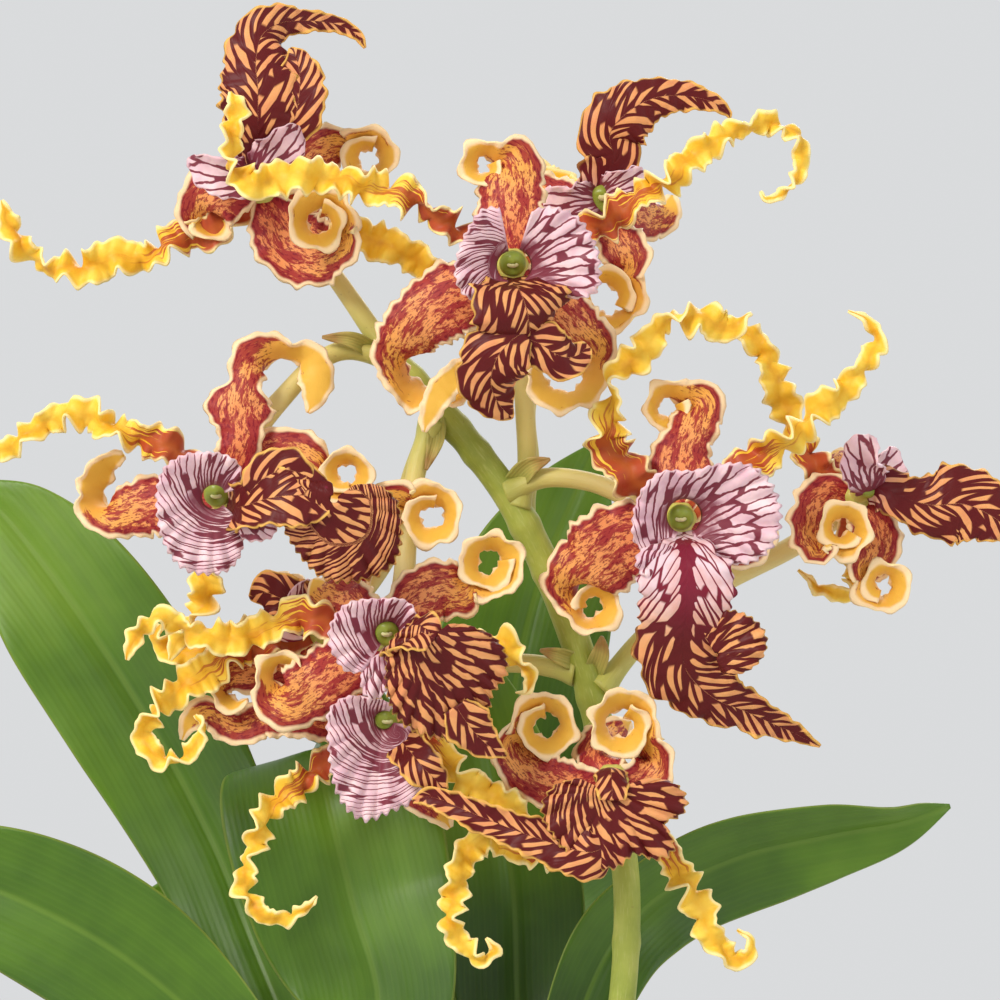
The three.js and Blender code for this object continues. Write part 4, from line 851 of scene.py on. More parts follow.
BRACTS = [
    [[374, 352, -4, 1.8], [352, 340, 1, 1.7, 0, 20], [322, 337, 2, 0.3]],
    [[432, 404, -4, 1.8], [436, 436, -1, 2, 0, 20], [426, 470, 2, 0.3]],
    [[508, 490, -4, 2], [528, 468, 0, 2.2, 0, 20], [550, 459, 3, 0.3]],
    [[590, 680, -4, 2], [600, 654, -1, 2, 0, 20], [602, 636, 0, 0.3]],
    [[582, 664, -4, 1.8], [560, 656, -1, 1.8, 0, 20], [540, 650, 1, 0.3]],
]
# The flowers from the top of the spray down, in the view's units. "front" is where the column
# points to. "scroll" winds a sepal's tip round a place: x, y, radius, degrees to start at and to
# wind through, and half width in mm. A lip is made of strips and fans. "ear" marks a strip that is
# a side lobe, "droop" is told at strip_line, and "dark" is the share of the middle lobe's colouring
# that a strip starts at. A fan is a broad lobe round a hole: the place it is about, the place its
# veins spread from, and a rim of [degrees, distance, out].
FLOWERS = {
    "top_left": {
        "heart": [264, 192, -2], "front": [238, 170, 4],
        "stem": [[388, 354, -3, 2.2], [350, 298, -3, 1.9], [318, 254, -7, 1.8], [290, 222, -9, 1.8]],
        "sepals": [
            {"scroll": (214, 222, 13, 170, 200, 3.4), "rows": [[254, 190, 1, 2.5],
                [236, 192, 3, 5.5, 0, -20], [216, 196, 3, 7, 0, -30], [202, 206, 0, 5.5, -20, -20],
                [200, 220, -4, 4.4, -40]]},
            {"scroll": (320, 222, 25, -30, 470, 4), "rows": [[264, 196, -1, 2.5],
                [276, 220, 1, 6.5, 0, -10], [295, 244, 2, 8, 0, -20], [322, 252, 5, 7, 0, -10],
                [342, 242, 10, 5, -30]]},
            {"scroll": (367, 158, 22, 150, -450, 3.8), "rows": [[270, 188, -1, 2.5],
                [295, 170, -6, 4.5, 0, -20], [318, 152, -9, 5.5, 0, -30], [336, 146, -8, 4.6, 20, -10]]},
        ],
        "petals": [
            [[256, 194, -1, 2.2], [236, 214, -3, 3], [213, 230, -4, 3.5, 10, 10],
                [182, 238, -4, 3.9, 0, 10], [150, 258, -4, 3, 30], [115, 258, -5, 4, -10, 10],
                [80, 268, -6, 3.5, 20], [48, 268, -7, 2.6, -30], [22, 248, -7, 3, 0, 10],
                [8, 222, -7, 2.3, 20], [2, 200, -7, 0.4]],
            [[268, 194, -3, 2.2], [300, 205, -8, 2.6], [335, 222, -10, 3.5], [370, 238, -10, 3.9, 20],
                [400, 250, -10, 3.7, -20], [425, 268, -10, 3.2, 20], [440, 287, -9, 2],
                [452, 302, -8, 0.4]],
        ],
        "lip": [
            {"dark": 0.3, "rows": [[261, 188, 2, 3, 0, 30], [256, 174, 7, 4.5, 0, 30],
                [254, 160, 10, 5.5, 0, 30], [258, 140, 12, 6, 0, 20], [258, 115, 14, 7.4, 0, -10],
                [258, 88, 14, 7.8, 0, -20], [256, 62, 12, 7.2, 0, -30], [262, 36, 9, 6, 0, -30],
                [280, 23, 7, 4, 20, -20], [305, 21, 4, 2.4], [335, 24, 1, 1.8], [357, 35, 0, 1.2],
                [365, 48, 0, 0.3]]},
            {"dark": 0.5, "rows": [[282, 136, 11, 3], [294, 120, 13, 5], [299, 98, 13, 5.4, 0, 10],
                [300, 78, 12, 4.8, 0, 10], [297, 60, 11, 3], [291, 48, 10, 0.5]]},
            {"ear": True, "rows": [[256, 176, 8, 3], [240, 178, 11, 4.5, 0, 30],
                [220, 174, 13, 4.5, -20, 40], [202, 168, 13, 3.6, -30, 40], [188, 162, 11, 1, -30]]},
            {"ear": True, "rows": [[258, 172, 9, 3], [268, 160, 13, 4.5, 0, 30],
                [282, 148, 15, 4.6, 20, 40], [296, 138, 14, 3.4, 20, 30], [304, 134, 12, 1, 20]]},
        ],
    },
    "top_front": {
        "heart": [512, 264, 18], "front": [514, 268, 40],
        "stem": [[518, 508, -3, 2], [527, 470, -4, 2], [525, 410, -2, 2], [520, 340, 6, 1.9]],
        "sepals": [
            {"scroll": (484, 166, 17, 40, 340, 3.4), "rows": [[512, 262, 18, 2.5],
                [511, 232, 18, 6.5, 0, -25], [510, 200, 16, 7.2, 0, -35], [511, 174, 14, 7.2, 0, -40],
                [507, 160, 12, 6.4, -25, -40]]},
            {"rows": [[505, 272, 18, 2.5], [475, 290, 17, 6.5, 0, -15], [445, 302, 17, 8, 0, -25],
                [420, 322, 16, 7, 0, -30], [404, 345, 14, 6.5, -10, -40], [398, 366, 9, 5, -45, -30],
                [408, 388, 7, 5, -54, -20], [432, 398, 6, 4.6, -54, -10], [458, 390, 7, 4, -54, -10],
                [472, 374, 9, 3.2, -40], [460, 374, 13, 3], [441, 392, 14, 3], [428, 418, 14, 2],
                [424, 432, 14, 0.4]]},
            {"scroll": (560, 370, 36, 12, -215, 4.8), "rows": [[520, 272, 18, 2.5],
                [548, 300, 15, 6, 0, -15], [575, 330, 14, 6.5, 0, -30], [594, 352, 12, 5.5, 20, -20]]},
        ],
        "petals": [
            [[520, 260, 18, 2.2], [560, 240, 17, 2.8], [600, 222, 17, 3.7, 0, 10],
                [640, 200, 17, 3.9, -20, 15], [672, 178, 17, 3.5, 30, 10], [700, 152, 16, 3, -30],
                [735, 132, 14, 2.6, 30], [770, 122, 12, 2.3, 0, -10], [797, 138, 11, 2.2, -30, -20],
                [801, 165, 11, 1.7, -40, -20], [785, 192, 12, 1.2, -30, -10], [766, 199, 13, 0.7],
                [761, 191, 13, 0.3]],
            [[504, 260, 18, 2.2], [478, 242, 17, 2.6, 0, 10], [455, 228, 18, 3.2, 10, 20],
                [432, 213, 20, 3.2, -40, 10], [400, 196, 22, 4, 10, 15], [362, 186, 23, 3.7, 0, 10],
                [325, 178, 25, 3.5, 20], [285, 176, 26, 3.7, -10, 10], [254, 184, 27, 3.2, 30, 20],
                [236, 170, 27, 2.8, 60, 20], [229, 140, 27, 2.5, 20, 20], [236, 112, 26, 2.4, 10, 10],
                [230, 92, 25, 0.4]],
        ],
        "lip": [
            {"droop": -90, "dark": 0.45, "rows": [[513, 280, 24, 3.5, 0, 30], [513, 285, 29, 6, 0, 30],
                [517, 288, 33, 8.5, 0, 10], [521, 296, 36, 10, 0, -10], [526, 310, 37, 10.6, 0, -30],
                [529, 326, 36, 10, 0, -50], [530, 342, 32, 8, 0, -60], [530, 352, 27, 4, 0, -40]]},
            {"dark": 0.5, "rows": [[524, 332, 35, 3], [510, 342, 36, 6, 0, -20],
                [496, 360, 36, 7.2, 0, -30], [491, 384, 33, 6.8, 0, -30], [499, 404, 29, 4.4, 0, -30],
                [512, 418, 25, 0.5]]},
            {"dark": 0.5, "rows": [[520, 336, 34, 3], [540, 344, 34, 4.6, 0, -10],
                [560, 356, 33, 4.6, 0, -20], [576, 356, 31, 3.6], [588, 346, 29, 1.2]]},
            {"fan": "pale", "about": (512, 266, 28), "root": (504, 284), "hole": 15, "rim": [
                [255, 30, 28], [235, 44, 30], [212, 56, 32], [190, 58, 33], [165, 56, 34], [140, 58, 35],
                [118, 64, 35], [102, 60, 34]]},
            {"fan": "pale", "about": (514, 266, 28), "root": (526, 284), "hole": 17, "rim": [[72, 58, 35],
                [58, 70, 36], [38, 80, 36], [18, 84, 35], [0, 86, 34], [-18, 86, 33], [-32, 62, 31],
                [-50, 34, 28]]},
        ],
    },
    "top_back": {
        "heart": [598, 214, -18], "front": [606, 190, -6],
        "stem": [[522, 516, -5, 2], [530, 465, -10, 1.9], [527, 405, -15, 1.9], [548, 330, -22, 1.8]],
        "sepals": [
            {"scroll": (607, 297, 28, 42, -440, 4), "rows": [[604, 220, -17, 2.5],
                [618, 240, -13, 5, 0, -10], [631, 262, -11, 5, 30]]},
            {"rows": [[606, 212, -19, 2.5], [632, 214, -26, 4.6, 0, -20], [652, 218, -34, 5, 0, -30],
                [668, 212, -40, 3.4, 0, -20], [672, 196, -43, 1.2]]},
            {"rows": [[592, 212, -19, 2.5], [566, 202, -24, 5, 0, -20], [540, 190, -28, 4.6, 0, -30],
                [524, 176, -32, 3], [512, 170, -36, 0.8]]},
        ],
        "petals": [
            [[596, 220, -19, 2.2], [578, 238, -27, 3], [562, 262, -36, 3.3, 20, 10],
                [550, 290, -44, 3, -20], [548, 318, -50, 2.3, 20], [556, 338, -54, 0.4]],
            [[600, 208, -20, 2.2], [586, 200, -30, 3], [562, 188, -40, 3.3, 20, 10],
                [538, 172, -50, 3, -20], [518, 160, -58, 2.4, 20], [506, 150, -62, 0.4]],
        ],
        "lip": [
            {"dark": 0.3, "rows": [[600, 206, -13, 3, 0, 30], [600, 195, -12, 5, 0, 30],
                [606, 178, -11, 6, 0, 20], [614, 158, -10, 5.4], [610, 134, -9, 7, 0, -20],
                [628, 112, -8, 6.8, 0, -30], [655, 98, -9, 4.6, 0, -30], [685, 96, -10, 3.2, 0, -20],
                [712, 102, -11, 2], [727, 112, -12, 1], [730, 118, -12, 0.3]]},
            {"ear": True, "rows": [[600, 200, -12, 3], [586, 202, -9, 4.4, 0, 30],
                [568, 204, -8, 4.4, -20, 40], [552, 198, -9, 3, -30, 30], [544, 194, -11, 1, -30]]},
            {"ear": True, "rows": [[601, 196, -12, 3], [614, 192, -8, 4.4, 0, 30],
                [628, 186, -7, 4.4, 20, 40], [640, 180, -8, 3, 20, 30], [646, 176, -10, 1, 20]]},
        ],
    },
    "left": {
        "heart": [222, 494, 12], "front": [208, 500, 32],
        "stem": [[394, 360, -3, 2.2], [350, 350, -2, 2], [318, 362, 0, 1.9], [285, 395, 2, 1.9],
            [252, 436, 4, 1.9]],
        "sepals": [
            {"rows": [[224, 488, 12, 2.5], [236, 455, 14, 4.4, 0, -20], [240, 430, 14, 5, 0, -30],
                [240, 405, 13, 7.4, 0, -30], [245, 382, 12, 3.6, 0, -30], [252, 362, 10, 5, 10, -40],
                [268, 352, 7, 4.4, 40, -30], [288, 352, 5, 3.2, 50, -10], [306, 356, 5, 3.4, 30, -20],
                [316, 376, 6, 4, 0, -30], [314, 398, 7, 2.6, 0, -20], [308, 413, 7, 0.4]]},
            {"rows": [[214, 500, 12, 2.5], [180, 503, 10, 5.5, 0, -20], [150, 505, 9, 6.5, 0, -30],
                [122, 512, 8, 5.5, 10, -30], [102, 514, 6, 4.4, 40, -20], [92, 500, 4, 4.4, 50, -10],
                [96, 478, 4, 4, 50], [108, 462, 5, 3, 40], [124, 455, 6, 1, 20]]},
            {"scroll": (345, 474, 21, 190, 460, 3.6), "rows": [[232, 488, 11, 2.5],
                [262, 460, 11, 5, 0, -10], [290, 452, 11, 5.2, 0, -20], [312, 462, 12, 4.6, -20]]},
        ],
        "petals": [
            [[214, 486, 12, 2.2], [185, 458, 13, 3.2], [150, 440, 13, 3.7, 0, 10],
                [115, 432, 13, 3.2, 20, 10], [85, 415, 12, 3.3, -10, 10], [50, 420, 11, 2.8, 20],
                [25, 438, 10, 2.3], [0, 452, 9, 2], [-22, 460, 8, 0.4]],
            [[220, 502, 11, 2.2], [212, 530, 8, 2.6], [207, 565, 7, 3.5, 0, 10],
                [206, 592, 6, 3.5, 0, 10], [199, 614, 5, 2.8, 30], [188, 630, 4, 2.4], [176, 645, 4, 1.8],
                [170, 660, 4, 0.4]],
        ],
        "lip": [
            {"droop": -5, "dark": 0.3, "rows": [[229, 504, 18, 3.5, 0, 30], [234, 508, 23, 4.6, 0, 30],
                [246, 506, 29, 5, 0, 30], [264, 500, 32, 5.4, 0, 20], [288, 496, 34, 6],
                [310, 496, 34, 6, 0, -10], [330, 500, 33, 3]]},
            {"fan": "dark", "about": (334, 499, 35), "root": (326, 488), "hole": 4, "rim": [[100, 16, 33],
                [135, 26, 34], [155, 44, 34], [172, 54, 33], [190, 56, 32], [208, 58, 31], [228, 62, 30],
                [246, 70, 30], [262, 80, 29], [278, 84, 28], [296, 88, 28], [314, 88, 28], [330, 78, 29],
                [345, 70, 30], [360, 62, 31], [374, 50, 32], [392, 26, 33]]},
            {"dark": 0.5, "rows": [[250, 492, 30, 2.5], [264, 478, 32, 4.4], [284, 470, 33, 4.6, 0, -10],
                [302, 474, 33, 3], [312, 484, 33, 0.5]]},
            {"fan": "pale", "about": (252, 500, 28), "root": (246, 492), "hole": 4, "rim": [[240, 30, 27],
                [258, 40, 28], [280, 42, 29], [300, 42, 29], [320, 34, 28]]},
            {"fan": "pale", "about": (214, 497, 24), "root": (232, 500), "hole": 12, "rim": [[20, 22, 27],
                [48, 40, 30], [75, 44, 32], [100, 46, 33], [125, 52, 33], [150, 58, 32], [175, 58, 31],
                [198, 60, 30], [222, 68, 29], [246, 78, 27], [264, 78, 26], [282, 74, 25], [300, 58, 24],
                [318, 34, 24]]},
        ],
    },
    "right": {
        "heart": [680, 518, 18], "front": [682, 522, 40],
        "stem": [[508, 492, -3, 2.2], [545, 478, -1, 2], [590, 482, 2, 1.9], [632, 498, 6, 1.9]],
        "sepals": [
            {"scroll": (669, 409, 19, 50, 340, 3.4), "rows": [[682, 514, 18, 2.5],
                [681, 486, 18, 6.5, 0, -25], [682, 462, 17, 7.2, 0, -30], [688, 440, 16, 5.4, 0, -30],
                [697, 418, 14, 5.2, 0, -35], [699, 402, 12, 5, -15, -40]]},
            {"scroll": (594, 605, 20, 195, 360, 3.6), "rows": [[675, 525, 17, 2.5],
                [648, 532, 16, 6.5, 0, -10], [620, 542, 16, 8.2, 0, -15], [596, 560, 15, 8.8, 0, -25],
                [577, 576, 13, 7.5, -10, -60], [568, 592, 9, 5, -45, -40]]},
            {"rows": [[686, 525, 16, 2.5], [712, 538, 11, 4.6, 0, -20], [740, 548, 7, 4.6, 0, -30],
                [760, 538, 3, 3.6, -50, -20], [762, 518, 1, 2.8, -54, -22],
                [748, 510, 2, 0.8, -54, -22]]},
        ],
        "petals": [
            [[688, 514, 18, 2.4], [715, 490, 17, 3], [745, 468, 17, 4, 0, 10],
                [785, 440, 17, 3.9, 20, 10], [815, 412, 16, 3.5, -30], [840, 392, 15, 3.2, 30],
                [862, 368, 14, 2.3], [877, 342, 13, 2, -10, -20], [868, 322, 12, 1.2, -20],
                [848, 311, 12, 0.3]],
            [[674, 514, 18, 2.4], [650, 495, 17, 3.3], [625, 468, 17, 4.8, 0, 15],
                [605, 438, 18, 4.4, 20, 20], [611, 405, 20, 3, -30], [612, 378, 20, 2.2, -60],
                [640, 355, 20, 3.5, 20, 10], [662, 325, 19, 2.6, 60], [695, 318, 18, 3.5, 0, 15],
                [728, 328, 17, 3, -20], [752, 314, 16, 0.4]],
        ],
        "lip": [
            {"droop": -90, "rows": [[682, 534, 24, 3.5, 0, 30], [684, 541, 29, 4, 0, 20],
                [686, 550, 33, 5.5, 0, 10], [687, 566, 36, 8.6, 0, 10], [687, 590, 36, 9.2, 0, -10],
                [685, 620, 34, 8.8, 0, -15], [682, 650, 31, 9.2, 0, -20], [690, 676, 29, 9, 0, -30],
                [714, 697, 26, 6.6, 0, -20], [746, 711, 23, 4.6, 0, 10], [785, 728, 19, 2.8, 0, 20],
                [820, 746, 16, 0.4]]},
            {"fan": "dark", "about": (716, 655, 32), "root": (712, 668), "hole": 2, "rim": [[-70, 18, 31],
                [-30, 34, 33], [0, 48, 34], [22, 54, 34], [45, 52, 34], [68, 48, 34], [90, 44, 33],
                [120, 30, 32]]},
            {"fan": "pale", "about": (684, 516, 27), "root": (690, 552), "hole": 17, "rim": [
                [248, 36, 29], [228, 50, 31], [208, 56, 33], [185, 52, 34], [162, 50, 35], [140, 50, 36],
                [118, 50, 36], [95, 46, 36], [75, 48, 36], [55, 64, 36], [35, 86, 35], [15, 95, 34],
                [-5, 97, 33], [-22, 92, 32], [-38, 78, 31], [-52, 56, 30], [-64, 36, 29]]},
            {"fan": "pale", "about": (684, 552, 32), "root": (690, 552), "hole": 3, "rim": [[258, 22, 33],
                [238, 38, 35], [215, 46, 37], [195, 50, 38], [178, 44, 37], [160, 24, 34]]},
        ],
    },
    "far_right": {
        "heart": [856, 496, -10], "front": [872, 484, -2],
        "stem": [[600, 690, -3, 2.2], [650, 632, -7, 2], [720, 585, -11, 1.9], [790, 548, -15, 1.9],
            [830, 522, -18, 1.9]],
        "sepals": [
            {"scroll": (842, 528, 21, 215, 480, 3.6), "rows": [[850, 500, -9, 2.5],
                [832, 494, -7, 5, 0, -20], [815, 508, -4, 5.4, -20, -10], [810, 532, -2, 5.4, -30],
                [820, 552, 0, 4.8, -50]]},
            {"scroll": (883, 584, 20, 165, 450, 3.6), "rows": [[858, 502, -10, 2.5],
                [872, 526, -8, 5.5, 0, -10], [874, 550, -6, 5.5, 0, -10], [863, 570, -4, 5, -40]]},
            {"rows": [[856, 490, -12, 2.5], [850, 472, -17, 4.5, 0, -20], [840, 458, -22, 4, 0, -30],
                [834, 452, -28, 1]]},
        ],
        "petals": [
            [[850, 492, -10, 2.2], [828, 478, -9, 3], [812, 460, -8, 3.5, 20, 10],
                [800, 435, -8, 3.2, -20], [786, 408, -8, 3.3, 10], [772, 378, -8, 3.9, 0, 10],
                [766, 354, -8, 2.6, 30], [748, 337, -9, 2.6, -20], [735, 324, -10, 0.5]],
            [[852, 502, -13, 2.2], [848, 540, -14, 2.6], [858, 578, -13, 2.6], [845, 594, -12, 2],
                [820, 588, -12, 1.4], [798, 570, -12, 0.3]],
        ],
        "lip": [
            {"dark": 0.3, "rows": [[866, 492, -5, 3, 0, 30], [876, 488, -3, 4.6, 0, 30],
                [888, 490, -2, 5, 0, 20], [904, 498, -1, 4.6], [932, 505, 0, 7, 0, -20],
                [962, 504, 1, 8.6, 0, -30], [988, 514, 1, 6.4, 0, -20], [1012, 532, 0, 3],
                [1030, 550, -2, 0.4]]},
            {"ear": True, "rows": [[870, 490, -3, 3], [866, 476, 1, 4.4, 0, 30],
                [862, 460, 4, 4.6, -20, 40], [866, 446, 5, 3.4, -20, 30], [872, 436, 4, 1, -20]]},
            {"ear": True, "rows": [[874, 490, -4, 3], [882, 478, -8, 4, 0, 30],
                [888, 466, -10, 4, 20, 40], [894, 456, -11, 2.6, 20, 30], [898, 450, -12, 0.8, 20]]},
        ],
    },
    "behind_left": {
        "heart": [322, 630, -6], "front": [306, 620, 4],
        "stem": [[430, 428, -5, 2], [410, 480, -11, 1.9], [398, 535, -16, 1.9], [362, 592, -15, 1.9]],
        "sepals": [
            {"scroll": (430, 517, 24, 140, -430, 3.8), "rows": [[328, 622, -7, 2.5],
                [345, 582, -9, 5, 0, -20], [364, 532, -1, 5, 0, -30], [390, 500, 10, 4.4, 30, -10]]},
            {"rows": [[316, 622, -8, 2.5], [298, 602, -14, 4.6, 0, -20], [278, 588, -18, 4, 0, -30],
                [262, 582, -20, 1]]},
            {"rows": [[318, 638, -6, 2.5], [290, 662, -4, 4.6, 0, -10], [255, 672, -2, 4.8, 0, -30],
                [230, 674, 0, 4.2, -30, -20], [218, 690, 2, 3.4, -54], [233, 706, 3, 2.4, -54, -22],
                [248, 700, 4, 0.6, -54, -22]]},
        ],
        "petals": [
            [[316, 634, -6, 2.2], [280, 645, -1, 3], [245, 650, 3, 3.5, 0, 10],
                [212, 668, 5, 3.7, 20, 10], [182, 690, 6, 3.9, 0, 10], [152, 712, 7, 2.8, -40],
                [144, 738, 7, 2.5, -50], [162, 760, 8, 2.4, -40], [190, 752, 9, 2, -50],
                [203, 730, 10, 1.6, -50], [195, 715, 10, 0.4]],
            [[314, 628, -8, 2.2], [280, 634, -6, 3], [240, 640, -4, 3.5, 20, 10],
                [205, 652, -4, 3.5, -20, 10], [175, 650, -3, 3.5, 20, 10], [158, 638, -3, 2.5],
                [160, 624, -3, 0.5]],
        ],
        "lip": [
            {"rows": [[310, 622, -1, 3, 0, 30], [300, 618, 0, 6, 0, 40], [288, 604, 0, 6, 0, 30],
                [274, 595, 0, 5], [262, 593, 0, 4, 0, -20], [250, 598, -1, 0.6]]},
            {"ear": True, "rows": [[304, 620, 0, 3], [304, 608, 0, 4.4, 0, 30], [308, 597, 0, 4, 20, 40],
                [314, 589, -2, 2.6, 20, 30], [318, 584, -4, 0.8, 20]]},
        ],
    },
    "centre_left": {
        "heart": [386, 636, 18], "front": [388, 632, 40],
        "stem": [[432, 424, -3, 2.2], [417, 468, 0, 2], [408, 530, 4, 1.9], [402, 590, 8, 1.9]],
        "sepals": [
            {"rows": [[380, 630, 18, 2.5], [358, 610, 16, 5, 0, -30], [338, 598, 11, 5.6, 0, -50],
                [322, 592, 7, 4.4, 0, -40], [314, 580, 3, 1]]},
            {"scroll": (489, 564, 25, 235, 500, 4), "rows": [[392, 630, 18, 2.5],
                [412, 602, 17, 5.5, 0, -30], [438, 590, 15, 6.5, 0, -30], [462, 590, 13, 5.5, -20, -10]]},
            {"scroll": (283, 674, 18, 215, -290, 3.4), "rows": [[378, 644, 18, 2.5],
                [350, 662, 15, 6, 0, -20], [320, 682, 13, 7, 0, -30], [292, 700, 12, 6.4, 0, -20],
                [273, 697, 10, 5, 20, -10]]},
        ],
        "petals": [
            [[378, 636, 18, 2.2], [335, 624, 14, 3], [300, 615, 12, 3.7, 10, 10],
                [262, 630, 12, 3.5, 0, 10], [225, 640, 12, 3.3, 30, 10], [190, 634, 12, 3, -30],
                [165, 618, 13, 2.3], [143, 628, 14, 2.2, 0, -10], [131, 648, 14, 1.4],
                [127, 660, 14, 0.4]],
            [[396, 644, 17, 2.2], [440, 662, 18, 3], [480, 646, 20, 3.2], [503, 642, 21, 3.2, 0, 10],
                [516, 660, 21, 2.4, 20], [530, 674, 20, 1.6], [527, 689, 19, 0.9], [516, 693, 18, 0.3]],
        ],
        "lip": [
            {"droop": -40, "dark": 0.3, "rows": [[394, 641, 24, 3.5, 0, 30], [400, 643, 29, 4.4, 0, 30],
                [409, 638, 34, 5, 0, 30], [422, 634, 37, 5, 0, 20], [434, 640, 38, 3, 0, -20]]},
            {"fan": "dark", "about": (434, 634, 38), "root": (436, 622), "hole": 4, "rim": [[150, 16, 36],
                [180, 38, 35], [198, 50, 34], [214, 58, 33], [232, 76, 32], [246, 92, 31], [260, 100, 30],
                [274, 106, 29], [288, 110, 28], [300, 104, 29], [314, 84, 31], [328, 84, 31],
                [343, 76, 32], [356, 62, 33], [370, 40, 34], [390, 18, 36]]},
            {"dark": 0.5, "rows": [[456, 706, 32, 3], [468, 724, 31, 4.6], [484, 742, 29, 3.4],
                [506, 756, 27, 0.5]]},
            {"fan": "pale", "about": (388, 634, 26), "root": (402, 644), "hole": 12, "rim": [[10, 22, 29],
                [40, 36, 31], [66, 38, 32], [92, 36, 33], [118, 40, 33], [145, 52, 32], [168, 58, 31],
                [188, 60, 30], [206, 58, 29], [222, 56, 28], [236, 46, 27]]},
            {"fan": "pale", "about": (392, 648, 27), "root": (400, 644), "hole": 4, "rim": [[205, 30, 27],
                [222, 42, 27], [238, 54, 27], [252, 54, 27], [266, 40, 27]]},
        ],
    },
    "low_left": {
        "heart": [390, 722, 4], "front": [384, 722, 24],
        "stem": [[575, 672, -4, 2.2], [530, 664, -5, 2], [490, 666, -5, 1.9], [440, 690, -4, 1.9]],
        "sepals": [
            {"rows": [[384, 718, 4, 2.5], [356, 704, 2, 4.6, 0, -20], [328, 696, -1, 4.6, 0, -30],
                [306, 700, -4, 3.6, 0, -20], [292, 712, -6, 1]]},
            {"rows": [[384, 726, 3, 2.5], [350, 730, 1, 3.6, 0, -10], [310, 722, 0, 3.6, 20],
                [268, 718, 0, 4, 0, 10], [238, 728, 0, 3.8, 20], [208, 712, 1, 3.4, -20],
                [190, 722, 1, 2.4], [182, 740, 1, 0.5]]},
            {"rows": [[392, 730, 3, 2.5], [404, 770, 0, 4.6, 0, -20], [424, 795, -2, 4.6, 0, -30],
                [440, 812, -2, 3], [450, 828, -2, 0.8]]},
        ],
        "petals": [
            [[386, 730, 3, 2.2], [355, 746, 2, 2.6], [325, 762, 2, 3], [300, 782, 4, 3.5, 10, 10],
                [275, 802, 6, 3.3], [258, 830, 7, 3, -30], [250, 860, 8, 2.5, 30],
                [246, 888, 9, 2.4, -10, -10], [262, 914, 10, 2, 0, -20], [288, 918, 11, 1.8, 0, -20],
                [308, 906, 11, 1], [317, 896, 11, 0.3]],
            [[396, 724, 4, 2.2], [420, 738, 8, 2.8], [440, 754, 12, 3.2, 20], [456, 774, 14, 3.2, -10],
                [480, 790, 15, 3.3, 20], [508, 802, 15, 2.8, -10], [530, 818, 14, 0.5]],
        ],
        "lip": [
            {"dark": 0.5, "rows": [[398, 734, 9, 3, 0, 30], [404, 744, 14, 4, 0, 30],
                [414, 756, 18, 4.4, 0, 30], [424, 768, 20, 4, 0, 20], [436, 780, 20, 3, 0, -10],
                [446, 790, 20, 0.6]]},
            {"fan": "pale", "about": (384, 720, 12), "root": (398, 734), "hole": 9, "rim": [[60, 18, 15],
                [95, 20, 17], [125, 28, 18], [150, 46, 18], [170, 56, 18], [188, 58, 18], [206, 62, 19],
                [224, 74, 19], [240, 90, 18], [252, 100, 17], [261, 102, 16], [274, 92, 17],
                [290, 86, 17], [306, 72, 16], [324, 50, 15], [345, 26, 13]]},
        ],
    },
    "low_front": {
        "heart": [612, 780, 17], "front": [611, 810, 25],
        "stem": [[600, 728, -2, 2.2], [602, 745, 1, 1.9], [606, 762, 6, 1.9]],
        "sepals": [
            {"rows": [[611, 778, 17, 2.5], [603, 762, 16, 5.5, 0, -50], [604, 748, 11, 6, 0, -60],
                [612, 738, 5, 5, 0, -50], [622, 728, 0, 3, 0, -30], [630, 722, -4, 0.8]]},
            {"scroll": (545, 727, 25, 200, -470, 4), "rows": [[604, 782, 17, 2.5], [575, 786, 16, 5],
                [545, 780, 14, 5.5, 0, -20], [520, 762, 12, 5.6, 20, -10], [511, 742, 12, 5, 45]]},
            {"scroll": (622, 726, 27, -30, 460, 4), "rows": [[619, 780, 17, 2.5], [641, 778, 15, 5],
                [656, 762, 14, 5, -40]]},
        ],
        "petals": [
            [[606, 788, 16, 2.2], [592, 820, 13, 2.8], [560, 856, 12, 3], [520, 850, 13, 2.8, 30],
                [485, 840, 14, 3, -20], [462, 862, 15, 3, 20], [455, 890, 16, 3, -30],
                [450, 916, 17, 2.6, 30], [462, 943, 17, 2.2, 0, -10], [482, 960, 17, 1.8, 0, -10],
                [494, 950, 16, 1.2], [486, 938, 16, 0.3]],
            [[618, 788, 16, 2.2], [648, 825, 14, 2.8], [668, 852, 15, 2.6, 30], [682, 880, 16, 3, -30],
                [698, 905, 17, 3.5, 20], [710, 932, 18, 3, -20], [728, 955, 18, 2.3], [746, 958, 17, 1.8],
                [751, 940, 16, 1], [737, 930, 16, 0.3]],
        ],
        "lip": [
            {"fan": "dark", "about": (612, 792, 31), "root": (611, 782), "hole": 3, "rim": [[20, 40, 30],
                [6, 66, 30], [-8, 76, 30], [-20, 72, 31], [-30, 62, 33], [-42, 84, 32], [-56, 82, 31],
                [-70, 66, 32], [-86, 76, 31], [-104, 78, 30], [-122, 76, 29], [-140, 74, 30],
                [-158, 74, 30], [-172, 70, 31], [-186, 58, 31], [-200, 38, 31]]},
            {"dark": 0.5, "rows": [[606, 846, 30, 4, 0, -20], [590, 852, 31, 6, 0, -35],
                [562, 846, 28, 5, 0, 20], [520, 832, 26, 4, 0, 40], [470, 812, 24, 3.4, 0, 50],
                [432, 797, 22, 2.2, 0, 40], [413, 801, 21, 0.5]]},
            {"droop": -90, "dark": 0.3, "rows": [[612, 778, 20.4, 2.4, 0, -20],
                [611, 770, 24, 3.4, 0, -40], [611, 772, 29, 3.6, 0, -50], [612, 786, 32, 3.4, 0, -30],
                [612, 800, 33, 2.6]]},
        ],
    },
}


